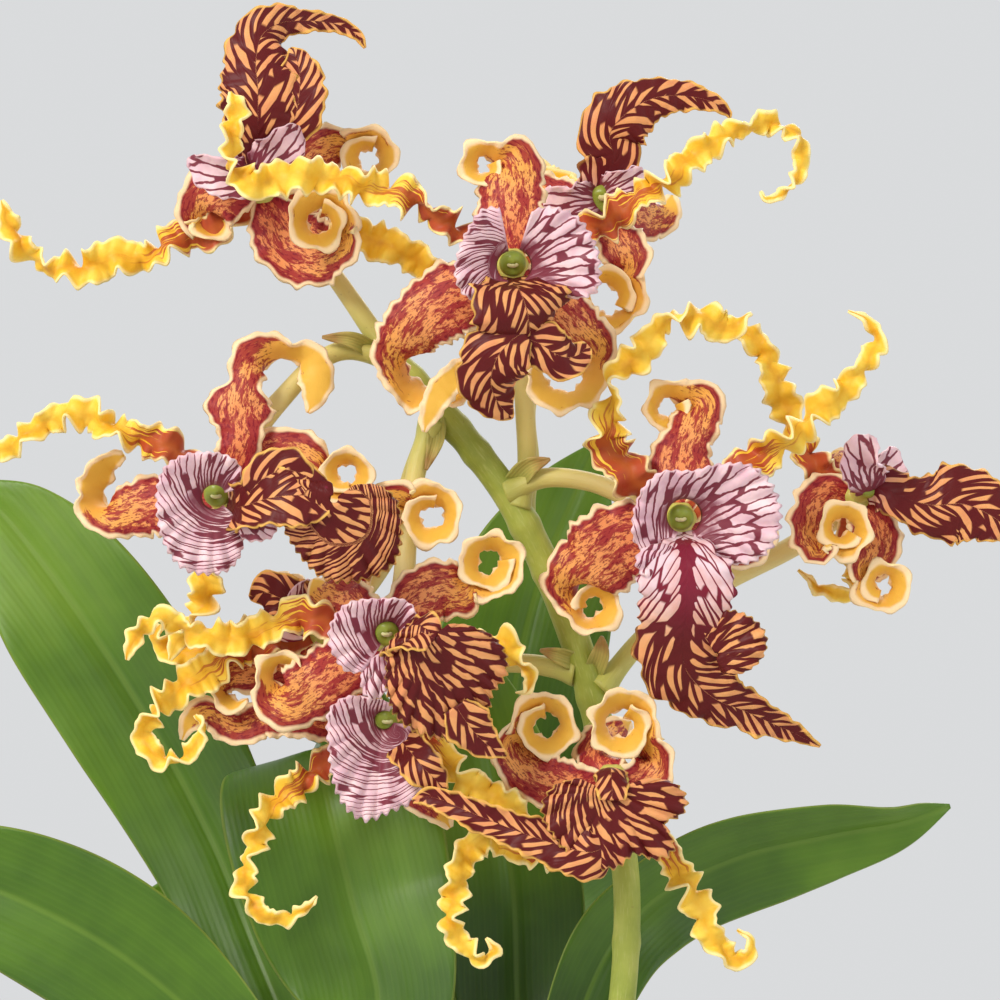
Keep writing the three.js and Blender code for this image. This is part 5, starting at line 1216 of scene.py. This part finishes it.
def tube(rows, steps, around, tone, swell, ribs):
    """A round stalk along rows of [x, y, out, radius in mm], swollen and ribbed by share along."""
    line = strip_line(rows, steps)
    share = line["run"] / line["run"][-1]
    turn = circle(around)
    ribbed = 1 + ribs(share)[:, None] * np.cos(STEM_RIBS * turn)
    radius = (line["half"] * swell(share))[:, None] * ribbed
    rings = hoops(line["centre"], line["width"], line["up"], radius, turn)
    turns = np.broadcast_to(turn / (2 * math.pi), radius.shape)
    shares = np.stack([np.full(radius.shape, tone), np.broadcast_to(share[:, None], radius.shape)], axis=-1)
    sizes = np.stack([turns, np.broadcast_to(line["run"][:, None] / SIZE_MM, radius.shape)], axis=-1)
    return shell(rings, shares, sizes, 0)


def stalk_swell(share):
    """Thicker by a tenth at each node of the stalk."""
    bulge = np.ones_like(share)
    for node in STALK_NODES:
        bulge += NODE_PROUD * np.exp(-(((share - node) / NODE_WIDTH) ** 2))
    return bulge


def stem_swell(share):
    """Thickest at its foot, and a little thicker again towards the flower."""
    foot = 0.35 * np.exp(-((share / 0.05) ** 2))
    return 1 + foot + 0.10 * np.sin(math.pi * np.clip((share - 0.45) / 0.5, 0, 1))


def stalk_finish():
    finish = Finish(
        "stalk_green",
        Specular_IOR_Level=0.4,
        Subsurface_Weight=0.12,
        Subsurface_Radius=(0.8, 1.0, 0.3),
        Subsurface_Scale=0.0015,
    )
    tone, along = finish.layer("share")
    around, run = finish.layer("size")
    place = finish.place()
    cloud = finish.noise(place, 70, 4, 0.6)
    fibre = finish.noise(finish.join(around * 46, run * 30), 1.0, 4, 0.6)
    fleck = finish.noise(place, 900, 3, 0.6)
    green = finish.ramp(
        cloud,
        (0.3, rgb(128, 142, 48)),
        (0.55, rgb(158, 166, 70)),
        (0.8, rgb(184, 184, 98)),
    )
    cream = finish.ramp(
        along + (cloud - 0.5) * 0.25,
        (0.0, rgb(172, 172, 84)),
        (0.3, rgb(208, 190, 112)),
        (0.7, rgb(222, 202, 134)),
        (1.0, rgb(214, 176, 96)),
    )
    colour = finish.mix(tone, green, cream)
    colour = finish.mix(fibre.smooth(0.5, 0.75) * 0.3, colour, rgb(206, 204, 136))
    colour = finish.mix(fleck.smooth(0.66, 0.76) * 0.35, colour, rgb(120, 92, 50))
    finish.bump(fibre + fleck * 0.4, 0.25, 0.0004)
    return finish.done(colour, 0.42 + 0.16 * cloud)


def bract_finish():
    finish = Finish("bract_green", Specular_IOR_Level=0.35, Subsurface_Weight=0.08)
    _, along, across, _ = finish.strip()
    cloud = finish.noise(finish.place(), 120, 4, 0.6)
    vein = (across * 9).waves()
    colour = finish.ramp(
        along + cloud * 0.3,
        (0.2, rgb(146, 156, 70)),
        (0.8, rgb(176, 160, 84)),
        (1.0, rgb(150, 112, 58)),
    )
    colour = finish.mix(vein.smooth(0.6, 1.0) * 0.3, colour, rgb(118, 124, 52))
    finish.bump(vein, 0.25, 0.0003)
    return finish.done(colour, 0.5 + 0.1 * cloud)


def stem_rows(flower):
    x, y, out = flower["heart"]
    return [*flower["stem"], [x, y, out - STEM_BEHIND, STEM_TIP_RADIUS]]


def ovary_ribs(share):
    """No ribs on the stem's lower half, and full ones on its last fifth."""
    return 0.05 * np.clip((share - 0.55) * 4, 0, 1)


def bract_cup(side, run, half):
    return 0.5 * side**2 * half


stalk_parts = [tube(STALK, STALK_STEPS, STALK_ROUND, 0.0, stalk_swell, nothing)]
for flower in FLOWERS.values():
    stalk_parts.append(tube(stem_rows(flower), STEM_STEPS, STEM_ROUND, 1.0, stem_swell, ovary_ribs))
for rows in BRACTS:
    line = strip_line(rows, BRACT_STEPS)
    stalk_parts.append(blade(line, BRACT_LANES, BRACT_THICKNESS, bract_cup, faces=(1, 1)))
piece("flower_spray_stalk", stalk_parts, [stalk_finish(), bract_finish()], "flower_stalk")


# The sepals and petals. Each flower has three broad sepals that roll into scrolls at their tips and
# two long petals twisted into crisped ribbons. They are thin and fleshy, with a pale waved margin.
PETAL_THICKNESS = 0.0007
# How a strip's margin is crisped: the length and height of its waves in mm, how steeply they grow
# towards the margin, the lanes across it, steps to a mm, degrees it twists by and mm it sways.
SEPAL_LOOK = {"wave": 5.2, "height": 1.0, "power": 4, "lanes": 16, "steps": 2.2, "twist": 6, "sway": 0}
PETAL_LOOK = {
    "wave": 5.4, "height": 2.6, "power": 1.25, "lanes": 14, "steps": 3.3, "twist": 42, "sway": 0.8,
}
TWIST_WAVE = 12
ROLLED_FROM = 35
UNROLLED_SHARE = 0.85
SCROLL_STEP = 30
SCROLL_SHRINK = 0.42
SCROLL_NARROW = 0.3
SCROLL_ROLL = 56
SCROLL_FLARE = -24
HEART_REACH = (0.0032, 0.0029, 0.0032)
HEART_TONE = 0.55


def margin_wave(at, pitch, drift, surge, phases):
    """A wave whose pace drifts and whose height swells and fades, at an angle along a margin."""
    wave = np.sin(at * pitch + 0.9 * np.sin(at / drift + phases[0]) + phases[1])
    return wave * (0.75 + 0.35 * np.sin(at / surge + phases[2]))


def crisped(look, draw):
    """How a margin waves: lift and widening as functions of the share across and mm along."""
    phases = [draw.uniform(0, 2 * math.pi) for _ in range(8)]
    wave = 2 * math.pi / (look["wave"] * draw.uniform(0.9, 1.1))

    def swing(side, run):
        left = margin_wave(run * wave, 1, 3.7, 2.6, (phases[0], phases[1], phases[4]))
        right = margin_wave(run * wave, 1.07, 4.3, 2.9, (phases[2], phases[3], phases[5]))
        return np.where(side < 0, left, right)

    def lift(side, run, half):
        room = np.minimum(1, half / 3) * np.clip(run / 6, 0, 1)
        fold = np.abs(side) ** look["power"] * swing(side, run)
        ripple = 0.12 * np.sin(run * wave * 2.7 + phases[6] + 3 * side) * np.abs(side)
        sway = look["sway"] * np.sin(run * wave * 0.53 + phases[2])
        return room * (look["height"] * (fold + ripple) + sway)

    def widen(side, run):
        scallop = 0.05 * np.sin(run * wave * 2.1 + phases[7]) + 0.07 * swing(side, run + 1.3)
        return np.abs(side) ** 3 * scallop

    return lift, widen


def tepal(rows, look, draw, faces):
    start, stray = draw.uniform(0, 2 * math.pi), draw.uniform(0, 2 * math.pi)

    def twist(run):
        turn = 2 * math.pi * run / TWIST_WAVE
        grown = np.clip(run / TWIST_WAVE, 0, 1)
        return look["twist"] * grown * np.sin(turn + np.sin(turn / 3.3 + stray) + start)

    line = strip_line(rows, int(length_of(rows) * look["steps"]), twist=twist)
    lift, widen = crisped(look, draw)
    return blade(line, look["lanes"], PETAL_THICKNESS, lift, widen, faces)


def wound(out, x, y, radius, start, sweep, half):
    """Rows for a scroll round (x, y): degrees to start at and to wind through, and a half width."""
    rows = []
    count = round(abs(sweep) / SCROLL_STEP)
    roll = math.copysign(SCROLL_ROLL, -sweep)
    for step in range(count + 1):
        share = step / count
        turn = math.radians(start + sweep * share)
        away = radius * (1 - SCROLL_SHRINK * share)
        place = [x + away * math.cos(turn), y - away * math.sin(turn), out]
        rows.append([*place, half * (1 - SCROLL_NARROW * share), roll, SCROLL_FLARE])
    return rows


def sepal(shape, draw):
    """A sepal, whose finish knows where its tip starts to roll: half way along its share."""
    rows = shape["rows"]
    rolled = [i for i, row in enumerate(rows) if len(row) > 4 and abs(row[4]) > ROLLED_FROM]
    if "scroll" in shape:
        rolled = [len(rows) - 0.5]
        rows = rows + wound(rows[-1][2], *shape["scroll"])
    points, faces, share, size, finish = tepal(rows, SEPAL_LOOK, draw, (0, 1))
    _, run, t = even_line(rows, FINE_STEPS)
    start = np.interp(rolled[0] / (len(rows) - 1), t, run / run[-1]) if rolled else UNROLLED_SHARE
    share[:, 1] = np.interp(share[:, 1], [0, start, 1], [0, 0.5, 1])
    return points, faces, share, size, finish


def rim_distance(side, across):
    """Millimetres in from a strip's nearer margin."""
    return abs(across) / abs(side).most(0.05) - abs(across) + 5 * (1 - abs(side).smooth(0.05, 0.2))


def flesh(name, **more):
    """A finish with the soft glow of a thin fleshy petal."""
    constants = {
        "Specular_IOR_Level": 0.22,
        "Subsurface_Weight": 0.10,
        "Subsurface_Radius": (1.0, 0.45, 0.2),
        "Subsurface_Scale": 0.0005,
        **more,
    }
    return Finish(name, **constants)


def sepal_face():
    finish = flesh("sepal_face")
    side, along, across, run = finish.strip()
    place = finish.place()
    rim = rim_distance(side, across)
    smear = finish.noise(finish.join(across * 0.62, run * 0.24, run * 0.02), 1.0, 7, 0.72, 0.5)
    dashes = finish.noise(finish.join(across * 2.1, run * 0.8, 4.0), 1.0, 3, 0.6)
    cloud = finish.noise(place, 180, 3, 0.5)
    ground = finish.ramp(
        along + (cloud - 0.5) * 0.2,
        (0.0, rgb(220, 116, 72)),
        (0.3, rgb(232, 154, 92)),
        (0.5, rgb(232, 166, 72)),
        (0.68, rgb(230, 178, 70)),
    )
    near_rim = 1 - rim.smooth(1.0, 3.4)
    rolled = along.smooth(0.46, 0.62)
    amount = smear + near_rim * 0.16 + (0.5 - along) * 0.12 - rolled * 0.22
    red = amount.smooth(0.49, 0.58)
    colour = finish.mix(red * 0.9, ground, rgb(150, 18, 38))
    dark = (dashes + near_rim * 0.06 - rolled * 0.2).smooth(0.53, 0.60)
    colour = finish.mix(dark * 0.8, colour, rgb(124, 8, 32))
    cream = 1 - (rim + (cloud - 0.5) * 0.9).smooth(0.7, 1.4)
    colour = finish.mix(cream * 0.95, colour, rgb(246, 216, 170))
    finish.bump(smear + dashes * 0.5, 0.25, 0.0005)
    return finish.done(colour, 0.42 + 0.15 * smear)


def sepal_back():
    finish = flesh("sepal_back")
    side, along, across, run = finish.strip()
    place = finish.place()
    rim = rim_distance(side, across)
    cloud = finish.noise(place, 150, 4, 0.55)
    vein = (across * 4.4 + cloud * 2.5).waves()
    colour = finish.ramp(
        along + (cloud - 0.5) * 0.4,
        (0.0, rgb(214, 140, 82)),
        (0.3, rgb(224, 160, 72)),
        (0.6, rgb(232, 182, 72)),
        (1.0, rgb(240, 200, 92)),
    )
    colour = finish.mix(vein.smooth(0.6, 1.0) * 0.22, colour, rgb(222, 160, 70))
    smear = finish.noise(finish.join(across * 0.62, run * 0.24, run * 0.02), 1.0, 6, 0.7, 0.5)
    mottle = (smear + (0.4 - along) * 0.2).smooth(0.5, 0.6)
    colour = finish.mix(mottle * 0.5, colour, rgb(186, 72, 48))
    cream = 1 - (rim + (cloud - 0.5) * 0.6).smooth(0.5, 1.5)
    colour = finish.mix(cream * 0.9, colour, rgb(250, 226, 168))
    finish.bump(vein * 0.5 + cloud, 0.2, 0.0004)
    return finish.done(colour, 0.42 + 0.14 * cloud)


def petal_finish():
    finish = flesh("petal_gold")
    side, along, across, run = finish.strip()
    place = finish.place()
    rim = rim_distance(side, across)
    cloud = finish.noise(place, 160, 4, 0.55)
    streak = finish.noise(finish.join(across * 1.5, run * 0.09), 1.0, 4, 0.6)
    # The ramp runs lighter towards the margins: the brighter gold there is a painted highlight on the
    # raised margins.
    colour = finish.ramp(
        cloud + abs(side) * 0.22,
        (0.35, rgb(216, 150, 30)),
        (0.55, rgb(236, 186, 52)),
        (0.78, rgb(244, 208, 84)),
    )
    middle = 1 - abs(across).smooth(0.3, 2.9)
    base = 1 - along.smooth(0.14, 0.5)
    red = (streak * 1.3 + middle * 0.16 + base * 0.42 - 0.82).smooth(0.08, 0.13)
    colour = finish.mix(red * 0.88 * (1 - along.smooth(0.3, 0.56)), colour, rgb(164, 18, 38))
    # Darker brownish gold along the middle of each petal is painted shade in its fold.
    fold = 1 - abs(side).smooth(0.0, 0.55)
    colour = finish.mix(fold * 0.22, colour, rgb(196, 128, 28))
    cream = 1 - (rim + (cloud - 0.5) * 0.5).smooth(0.2, 0.9)
    colour = finish.mix(cream * 0.8, colour, rgb(252, 232, 168))
    finish.bump(streak + cloud * 0.6, 0.22, 0.0005)
    return finish.done(colour, 0.4 + 0.14 * cloud)


def knob(centre, axes, reach, lobes, depth, steps, around):
    """Rings of a knob with a reach along each of three axes and shallow lobes round the second."""
    turn = circle(around)
    polar = (math.pi * (np.arange(steps) + 0.5) / steps)[:, None]
    spread = np.sin(polar) * (1 + depth * np.cos(lobes * turn))
    side, pole, top = (np.array(axis) * length for axis, length in zip(axes, reach))
    return (
        np.array(centre)
        + side * (spread * np.cos(turn))[..., None]
        + top * (spread * np.sin(turn))[..., None]
        + pole * np.cos(polar)[..., None]
    )


def heart_part(flower):
    """The flower's heart: a small green boss behind the column, where sepals and petals meet."""
    rings = knob(seen(*flower["heart"]), np.eye(3), HEART_REACH, lobes=6, depth=0.05, steps=15, around=24)
    share = np.full((*rings.shape[:2], 2), HEART_TONE)
    return shell(rings, share, share, 2)


# The column at a flower's heart: a short blunt peg, green and olive, with the pale cap over its
# pollen at the tip. It rises over the lip's throat and is one piece with the heart.
COLUMN_LENGTH = 0.008
COLUMN_RADIUS = 0.0022
COLUMN_ROUND = 28
COLUMN_HOOD = 0.16
COLUMN_LEAN = 0.0009
COLUMN_TONE = 0.5
CAP_REACH = (0.00125, 0.0011, 0.001)
# The column's outline, as shares of its length and of its radius.
COLUMN_PROFILE = [
    (-0.1, 0.9), (0.15, 1.0), (0.35, 0.95), (0.6, 0.98), (0.8, 1.12), (0.92, 1.18),
    (1.0, 1.08), (1.05, 0.86), (1.07, 0.55), (1.07, 0.2),
]


def column_parts(flower):
    start = np.array(seen(*flower["heart"]))
    aim = unit(np.array(seen(*flower["front"])) - start)
    side = unit(np.cross(aim, (0.0, 0.0, 1.0)))
    top = np.cross(side, aim)
    turn = circle(COLUMN_ROUND)
    reach, wide = np.array(COLUMN_PROFILE).T[..., None]
    spread = COLUMN_RADIUS * wide * (1 + COLUMN_HOOD * reach * np.sin(turn))
    rings = hoops(start + aim * COLUMN_LENGTH * reach, side[None], top[None], spread, turn)
    rings = rings + aim * (COLUMN_LEAN * reach * reach * np.sin(turn))[..., None]
    share = np.stack([np.full(spread.shape, COLUMN_TONE), np.broadcast_to(reach, spread.shape)], axis=-1)
    cap_centre = start + aim * COLUMN_LENGTH * 1.02 + top * COLUMN_RADIUS * 0.2
    cap = knob(cap_centre, (side, aim, top), CAP_REACH, lobes=2, depth=0.1, steps=11, around=COLUMN_ROUND)
    cap_share = np.zeros((*cap.shape[:2], 2))
    return [shell(rings, share, share, 2), shell(cap, cap_share, cap_share, 3)]


def column_finish():
    finish = flesh("column_olive", Coat_Weight=0.2, Coat_Roughness=0.2)
    _, reach = finish.layer("share")
    cloud = finish.noise(finish.place(), 500, 3, 0.6)
    colour = finish.ramp(
        reach + (cloud - 0.5) * 0.3,
        (0.0, rgb(226, 204, 130)),
        (0.5, rgb(196, 190, 98)),
        (0.85, rgb(164, 168, 66)),
        (1.0, rgb(140, 150, 54)),
    )
    finish.bump(cloud, 0.2, 0.0002)
    return finish.done(colour, 0.32 + 0.1 * cloud)


def cap_finish():
    finish = flesh("pollen_cap", Coat_Weight=0.35, Coat_Roughness=0.15)
    cloud = finish.noise(finish.place(), 700, 3, 0.6)
    colour = finish.ramp(cloud, (0.35, rgb(206, 202, 128)), (0.6, rgb(228, 222, 166)))
    finish.bump(cloud, 0.1, 0.0002)
    return finish.done(colour, 0.22 + 0.1 * cloud)


flower_finishes = [sepal_face(), sepal_back(), column_finish(), cap_finish(), petal_finish()]
for number, (name, flower) in enumerate(FLOWERS.items()):
    draw = random.Random(100 + number)
    parts = [sepal(shape, draw) for shape in flower["sepals"]]
    parts += [tepal(rows, PETAL_LOOK, draw, (4, 4)) for rows in flower["petals"]]
    parts += [heart_part(flower), *column_parts(flower)]
    piece(f"{name}_flower", parts, flower_finishes, f"flower_{name}")


# The lips. The third petal of each flower: two rounded ears, lilac-white with maroon veins, curve
# up round the column, and a long middle lobe hangs in front, dark maroon with peach flames.
LIP_LOOK = {"wave": 6.0, "height": 0.9, "power": 4, "lanes": 22, "steps": 2.4, "sway": 0.15}
EAR_LOOK = {"wave": 5.0, "height": 0.7, "power": 4, "lanes": 20, "steps": 2.8, "sway": 0.2}
FAN_LANES = 24
FAN_STEPS = 2.7
FAN_FINE = 400
FAN_RUFFLE = 0.9
FAN_WAVE = 4.6
FAN_SAG = 0.9


def about_root(x, y, root):
    """Angle in radians and distance of places in the view about the root of their veins."""
    angle = np.unwrap(np.arctan2(root[1] - y, x - root[0]), axis=0)
    distance = np.hypot(x - root[0], y - root[1]) * UNIT * SIZE_PER_METRE
    return np.stack([angle, distance], axis=-1)


def even_rim(rim):
    """A fan's margin in steps of even length: mm from its start, degrees, distance and out."""
    fine = np.linspace(0, 1, FAN_FINE)
    degrees, distance, _ = along_rows(rim, fine).T
    ways = np.radians(degrees)
    rim_x, rim_y = distance * np.cos(ways), distance * np.sin(ways)
    run = np.concatenate([[0], np.cumsum(np.hypot(np.diff(rim_x), np.diff(rim_y)))]) * UNIT * MM_PER_METRE
    even = np.linspace(0, run[-1], int(run[-1] * FAN_STEPS))
    rows = along_rows(rim, np.interp(even, run, fine))
    return even[:, None], *rows[:, :, None].transpose(1, 0, 2)


def fan_part(fan, draw):
    """A broad lobe round a hole, which rises from it and ruffles towards its margin."""
    x, y, out = fan["about"]
    run, degrees, distance, rise = even_rim(fan["rim"])
    share = np.linspace(0, 1, FAN_LANES + 1)[None]
    wave = 2 * math.pi / (FAN_WAVE * draw.uniform(0.9, 1.1))
    phases = [draw.uniform(0, 2 * math.pi) for _ in range(4)]
    swing = np.sin(run * wave + 0.9 * np.sin(run * wave / 3.3 + phases[0]) + phases[1])
    small = np.sin(run * wave * 2.3 + phases[2])
    reach = fan["hole"] + (distance - fan["hole"]) * share * (1 + 0.03 * share**3 * small)
    waved = FAN_RUFFLE * (share**3 * swing + 0.25 * share**2 * np.sin(run * wave * 0.45 + phases[3]))
    height = out + (rise - out) * share**0.8 - FAN_SAG * share**6 + waved
    turn = np.radians(degrees)
    view_x, view_y = x + reach * np.cos(turn), y - reach * np.sin(turn)
    middle = np.stack(seen(view_x, view_y, height), axis=-1)
    normal = normals(middle)
    if normal[..., 1].mean() > 0:
        normal = -normal
    depth = PETAL_THICKNESS / 2 * np.sqrt(np.clip(1 - (2 * share - 1) ** 6, 0, 1))
    shares = np.stack(np.broadcast_arrays(run / run[-1], share), axis=-1)
    veins = about_root(view_x, view_y, fan["root"])
    return sheet(middle, normal, depth, shares, veins, 2 if fan["fan"] == "dark" else 1)


def fan_of(points, root):
    """Angle and distance of points about an ear's root, in the plane that fits the ear best."""
    arms = points - root
    axes = np.linalg.svd(arms - arms.mean(axis=0), full_matrices=False)[2]
    outward = unit(arms.mean(axis=0) - axes[2] * (axes[2] @ arms.mean(axis=0)))
    sideways = np.cross(axes[2], outward)
    angle = np.arctan2(arms @ sideways, arms @ outward)
    return np.stack([angle, np.linalg.norm(arms, axis=1) * SIZE_PER_METRE], axis=1)


def lip_part(shape, draw):
    """A strip or a fan of a lip. An ear's veins fan out from its root, and a strip's share along
    starts at "dark"."""
    if "fan" in shape:
        return fan_part(shape, draw)
    rows = shape["rows"]
    look = EAR_LOOK if "ear" in shape else LIP_LOOK
    line = strip_line(rows, int(length_of(rows) * look["steps"]), shape.get("droop"))
    own = 1 if "ear" in shape else 0
    part = blade(line, look["lanes"], PETAL_THICKNESS, *crisped(look, draw), (own, own))
    points, faces, share, size, finish = part
    if "ear" in shape:
        return points, faces, share, fan_of(points, line["centre"][0]), finish
    share[:, 1] = np.interp(share[:, 1], [0, 1], [shape.get("dark", 0), 1])
    return points, faces, share, size, finish


def net(finish, across, along):
    """How far inside the long cells of a net a place is, the cells being one unit each way."""
    cells = {"Vector": finish.join(across, along), "Scale": 1.0, "Randomness": 0.95}
    return finish.add("TexVoronoi", {"feature": "DISTANCE_TO_EDGE", "voronoi_dimensions": "2D"}, cells)


def ear_finish():
    finish = flesh("lip_ear")
    side, along, angle, radius = finish.strip()
    angle = angle / SIZE_MM
    place = finish.place()
    wobble = finish.noise(place, 260, 3, 0.5) - 0.5
    edge = net(finish, angle * radius**0.5 * 1.8 + wobble * 0.9, radius * 0.13 + wobble * 0.4)
    limit = 0.04 + 0.35 / radius.most(1.5) + 0.1 * (1 - along)
    vein = 1 - (edge - limit).smooth(-0.02, 0.03)
    rim = abs(side).smooth(0.93, 0.98).most(along.smooth(0.93, 0.985))
    core = 1 - (along + wobble * 0.7).smooth(0.08, 0.4)
    ground = finish.mix((wobble + 0.5).smooth(0.3, 0.7), rgb(222, 180, 190), rgb(238, 206, 208))
    stain = finish.noise(place, 120, 2, 0.5).smooth(0.45, 0.7)
    ground = finish.mix(stain * 0.25, ground, rgb(204, 146, 164))
    colour = finish.mix((vein * (1 - rim * 0.85)).most(core * 0.9) * 0.94, ground, rgb(112, 6, 38))
    finish.bump(edge, 0.3, 0.0006)
    return finish.done(colour, 0.42 + 0.2 * edge)


def flamed(finish, edge, limit, dark, wobble, lit):
    """The middle lobe's colours: peach cells in a maroon net, lilac where it isn't dark yet."""
    vein = 1 - (edge - limit).smooth(-0.03, 0.04)
    ground = finish.mix(dark, rgb(228, 200, 206), rgb(222, 156, 98))
    ground = finish.mix((wobble + 0.5).smooth(0.35, 0.7) * 0.4, ground, rgb(206, 118, 88))
    maroon = finish.mix(dark, rgb(118, 4, 38), rgb(82, 0, 18))
    colour = finish.mix(vein * 0.97, ground, maroon)
    colour = finish.mix(lit * 0.8, colour, rgb(238, 184, 92))
    finish.bump(edge + wobble * 0.3, 0.35, 0.0007)
    return finish.done(colour, 0.4 + 0.2 * edge)


def middle_lobe():
    finish = flesh("lip_middle", Specular_IOR_Level=0.14)
    side, along, across, run = finish.strip()
    wobble = finish.noise(finish.place(), 230, 3, 0.5) - 0.5
    reach = abs(across) + wobble * 1.0
    flank = side.smooth(-0.01, 0.01) * 37
    slant = run - reach * 1.5 + wobble * 1.6
    edge = net(finish, slant / 2.9, reach / 5.2 + flank)
    dark = along.smooth(0.22, 0.46)
    centre = 1 - (abs(across) + wobble * 1.6).smooth(0.7, 1.9)
    band = centre * along.smooth(0.05, 0.12) * (1 - along.smooth(0.38, 0.56))
    limit = 0.07 + dark * 0.14 + band * 0.6
    rim = rim_distance(side, across)
    lit = (1 - (rim + wobble * 0.7).smooth(0.2, 0.7)) * along.smooth(0.3, 0.6)
    return flamed(finish, edge, limit, dark, wobble, lit)


def fanned_lobe():
    finish = flesh("lip_fan", Specular_IOR_Level=0.14)
    _, along, angle, radius = finish.strip()
    angle = angle / SIZE_MM
    wobble = finish.noise(finish.place(), 230, 3, 0.5) - 0.5
    edge = net(finish, angle * radius**0.5 * 1.7 + wobble * 0.8, radius * 0.14 + wobble * 0.5)
    core = 1 - (radius + wobble * 3).smooth(1.5, 4.0)
    lit = (along + wobble * 0.05).smooth(0.96, 1.0)
    return flamed(finish, edge, 0.2 + core * 0.6, radius.smooth(0.0, 0.5), wobble, lit)


lip_finishes = [middle_lobe(), ear_finish(), fanned_lobe()]
for number, (name, flower) in enumerate(FLOWERS.items()):
    draw = random.Random(200 + number)
    parts = [lip_part(shape, draw) for shape in flower["lip"]]
    piece(f"{name}_lip", parts, lip_finishes, f"lip_{name}")


# The floor the pot stands on. A plain pale sheet for the picture, not part of the object, which
# lies just under the pot's foot.
FLOOR_RADIUS = 2.2
FLOOR_ROUND = 96
FLOOR_BELOW = 0.0004


def floor_finish():
    finish = Finish("pale_floor", Specular_IOR_Level=0.1)
    cloud = finish.noise(finish.place(), 3, 3, 0.5)
    colour = finish.ramp(cloud, (0.3, rgb(214, 214, 212)), (0.7, rgb(222, 222, 220)))
    return finish.done(colour, 0.9)


floor_mesh = bpy.data.meshes.new("floor")
floor_turns = [2 * math.pi * i / FLOOR_ROUND for i in range(FLOOR_ROUND)]
floor_ring = [(FLOOR_RADIUS * math.cos(t), FLOOR_RADIUS * math.sin(t), -FLOOR_BELOW) for t in floor_turns]
floor_mesh.from_pydata(floor_ring, [], [list(range(FLOOR_ROUND))])
floor_mesh.materials.append(floor_finish())
floor = bpy.data.objects.new("floor", floor_mesh)
bpy.context.scene.collection.objects.link(floor)
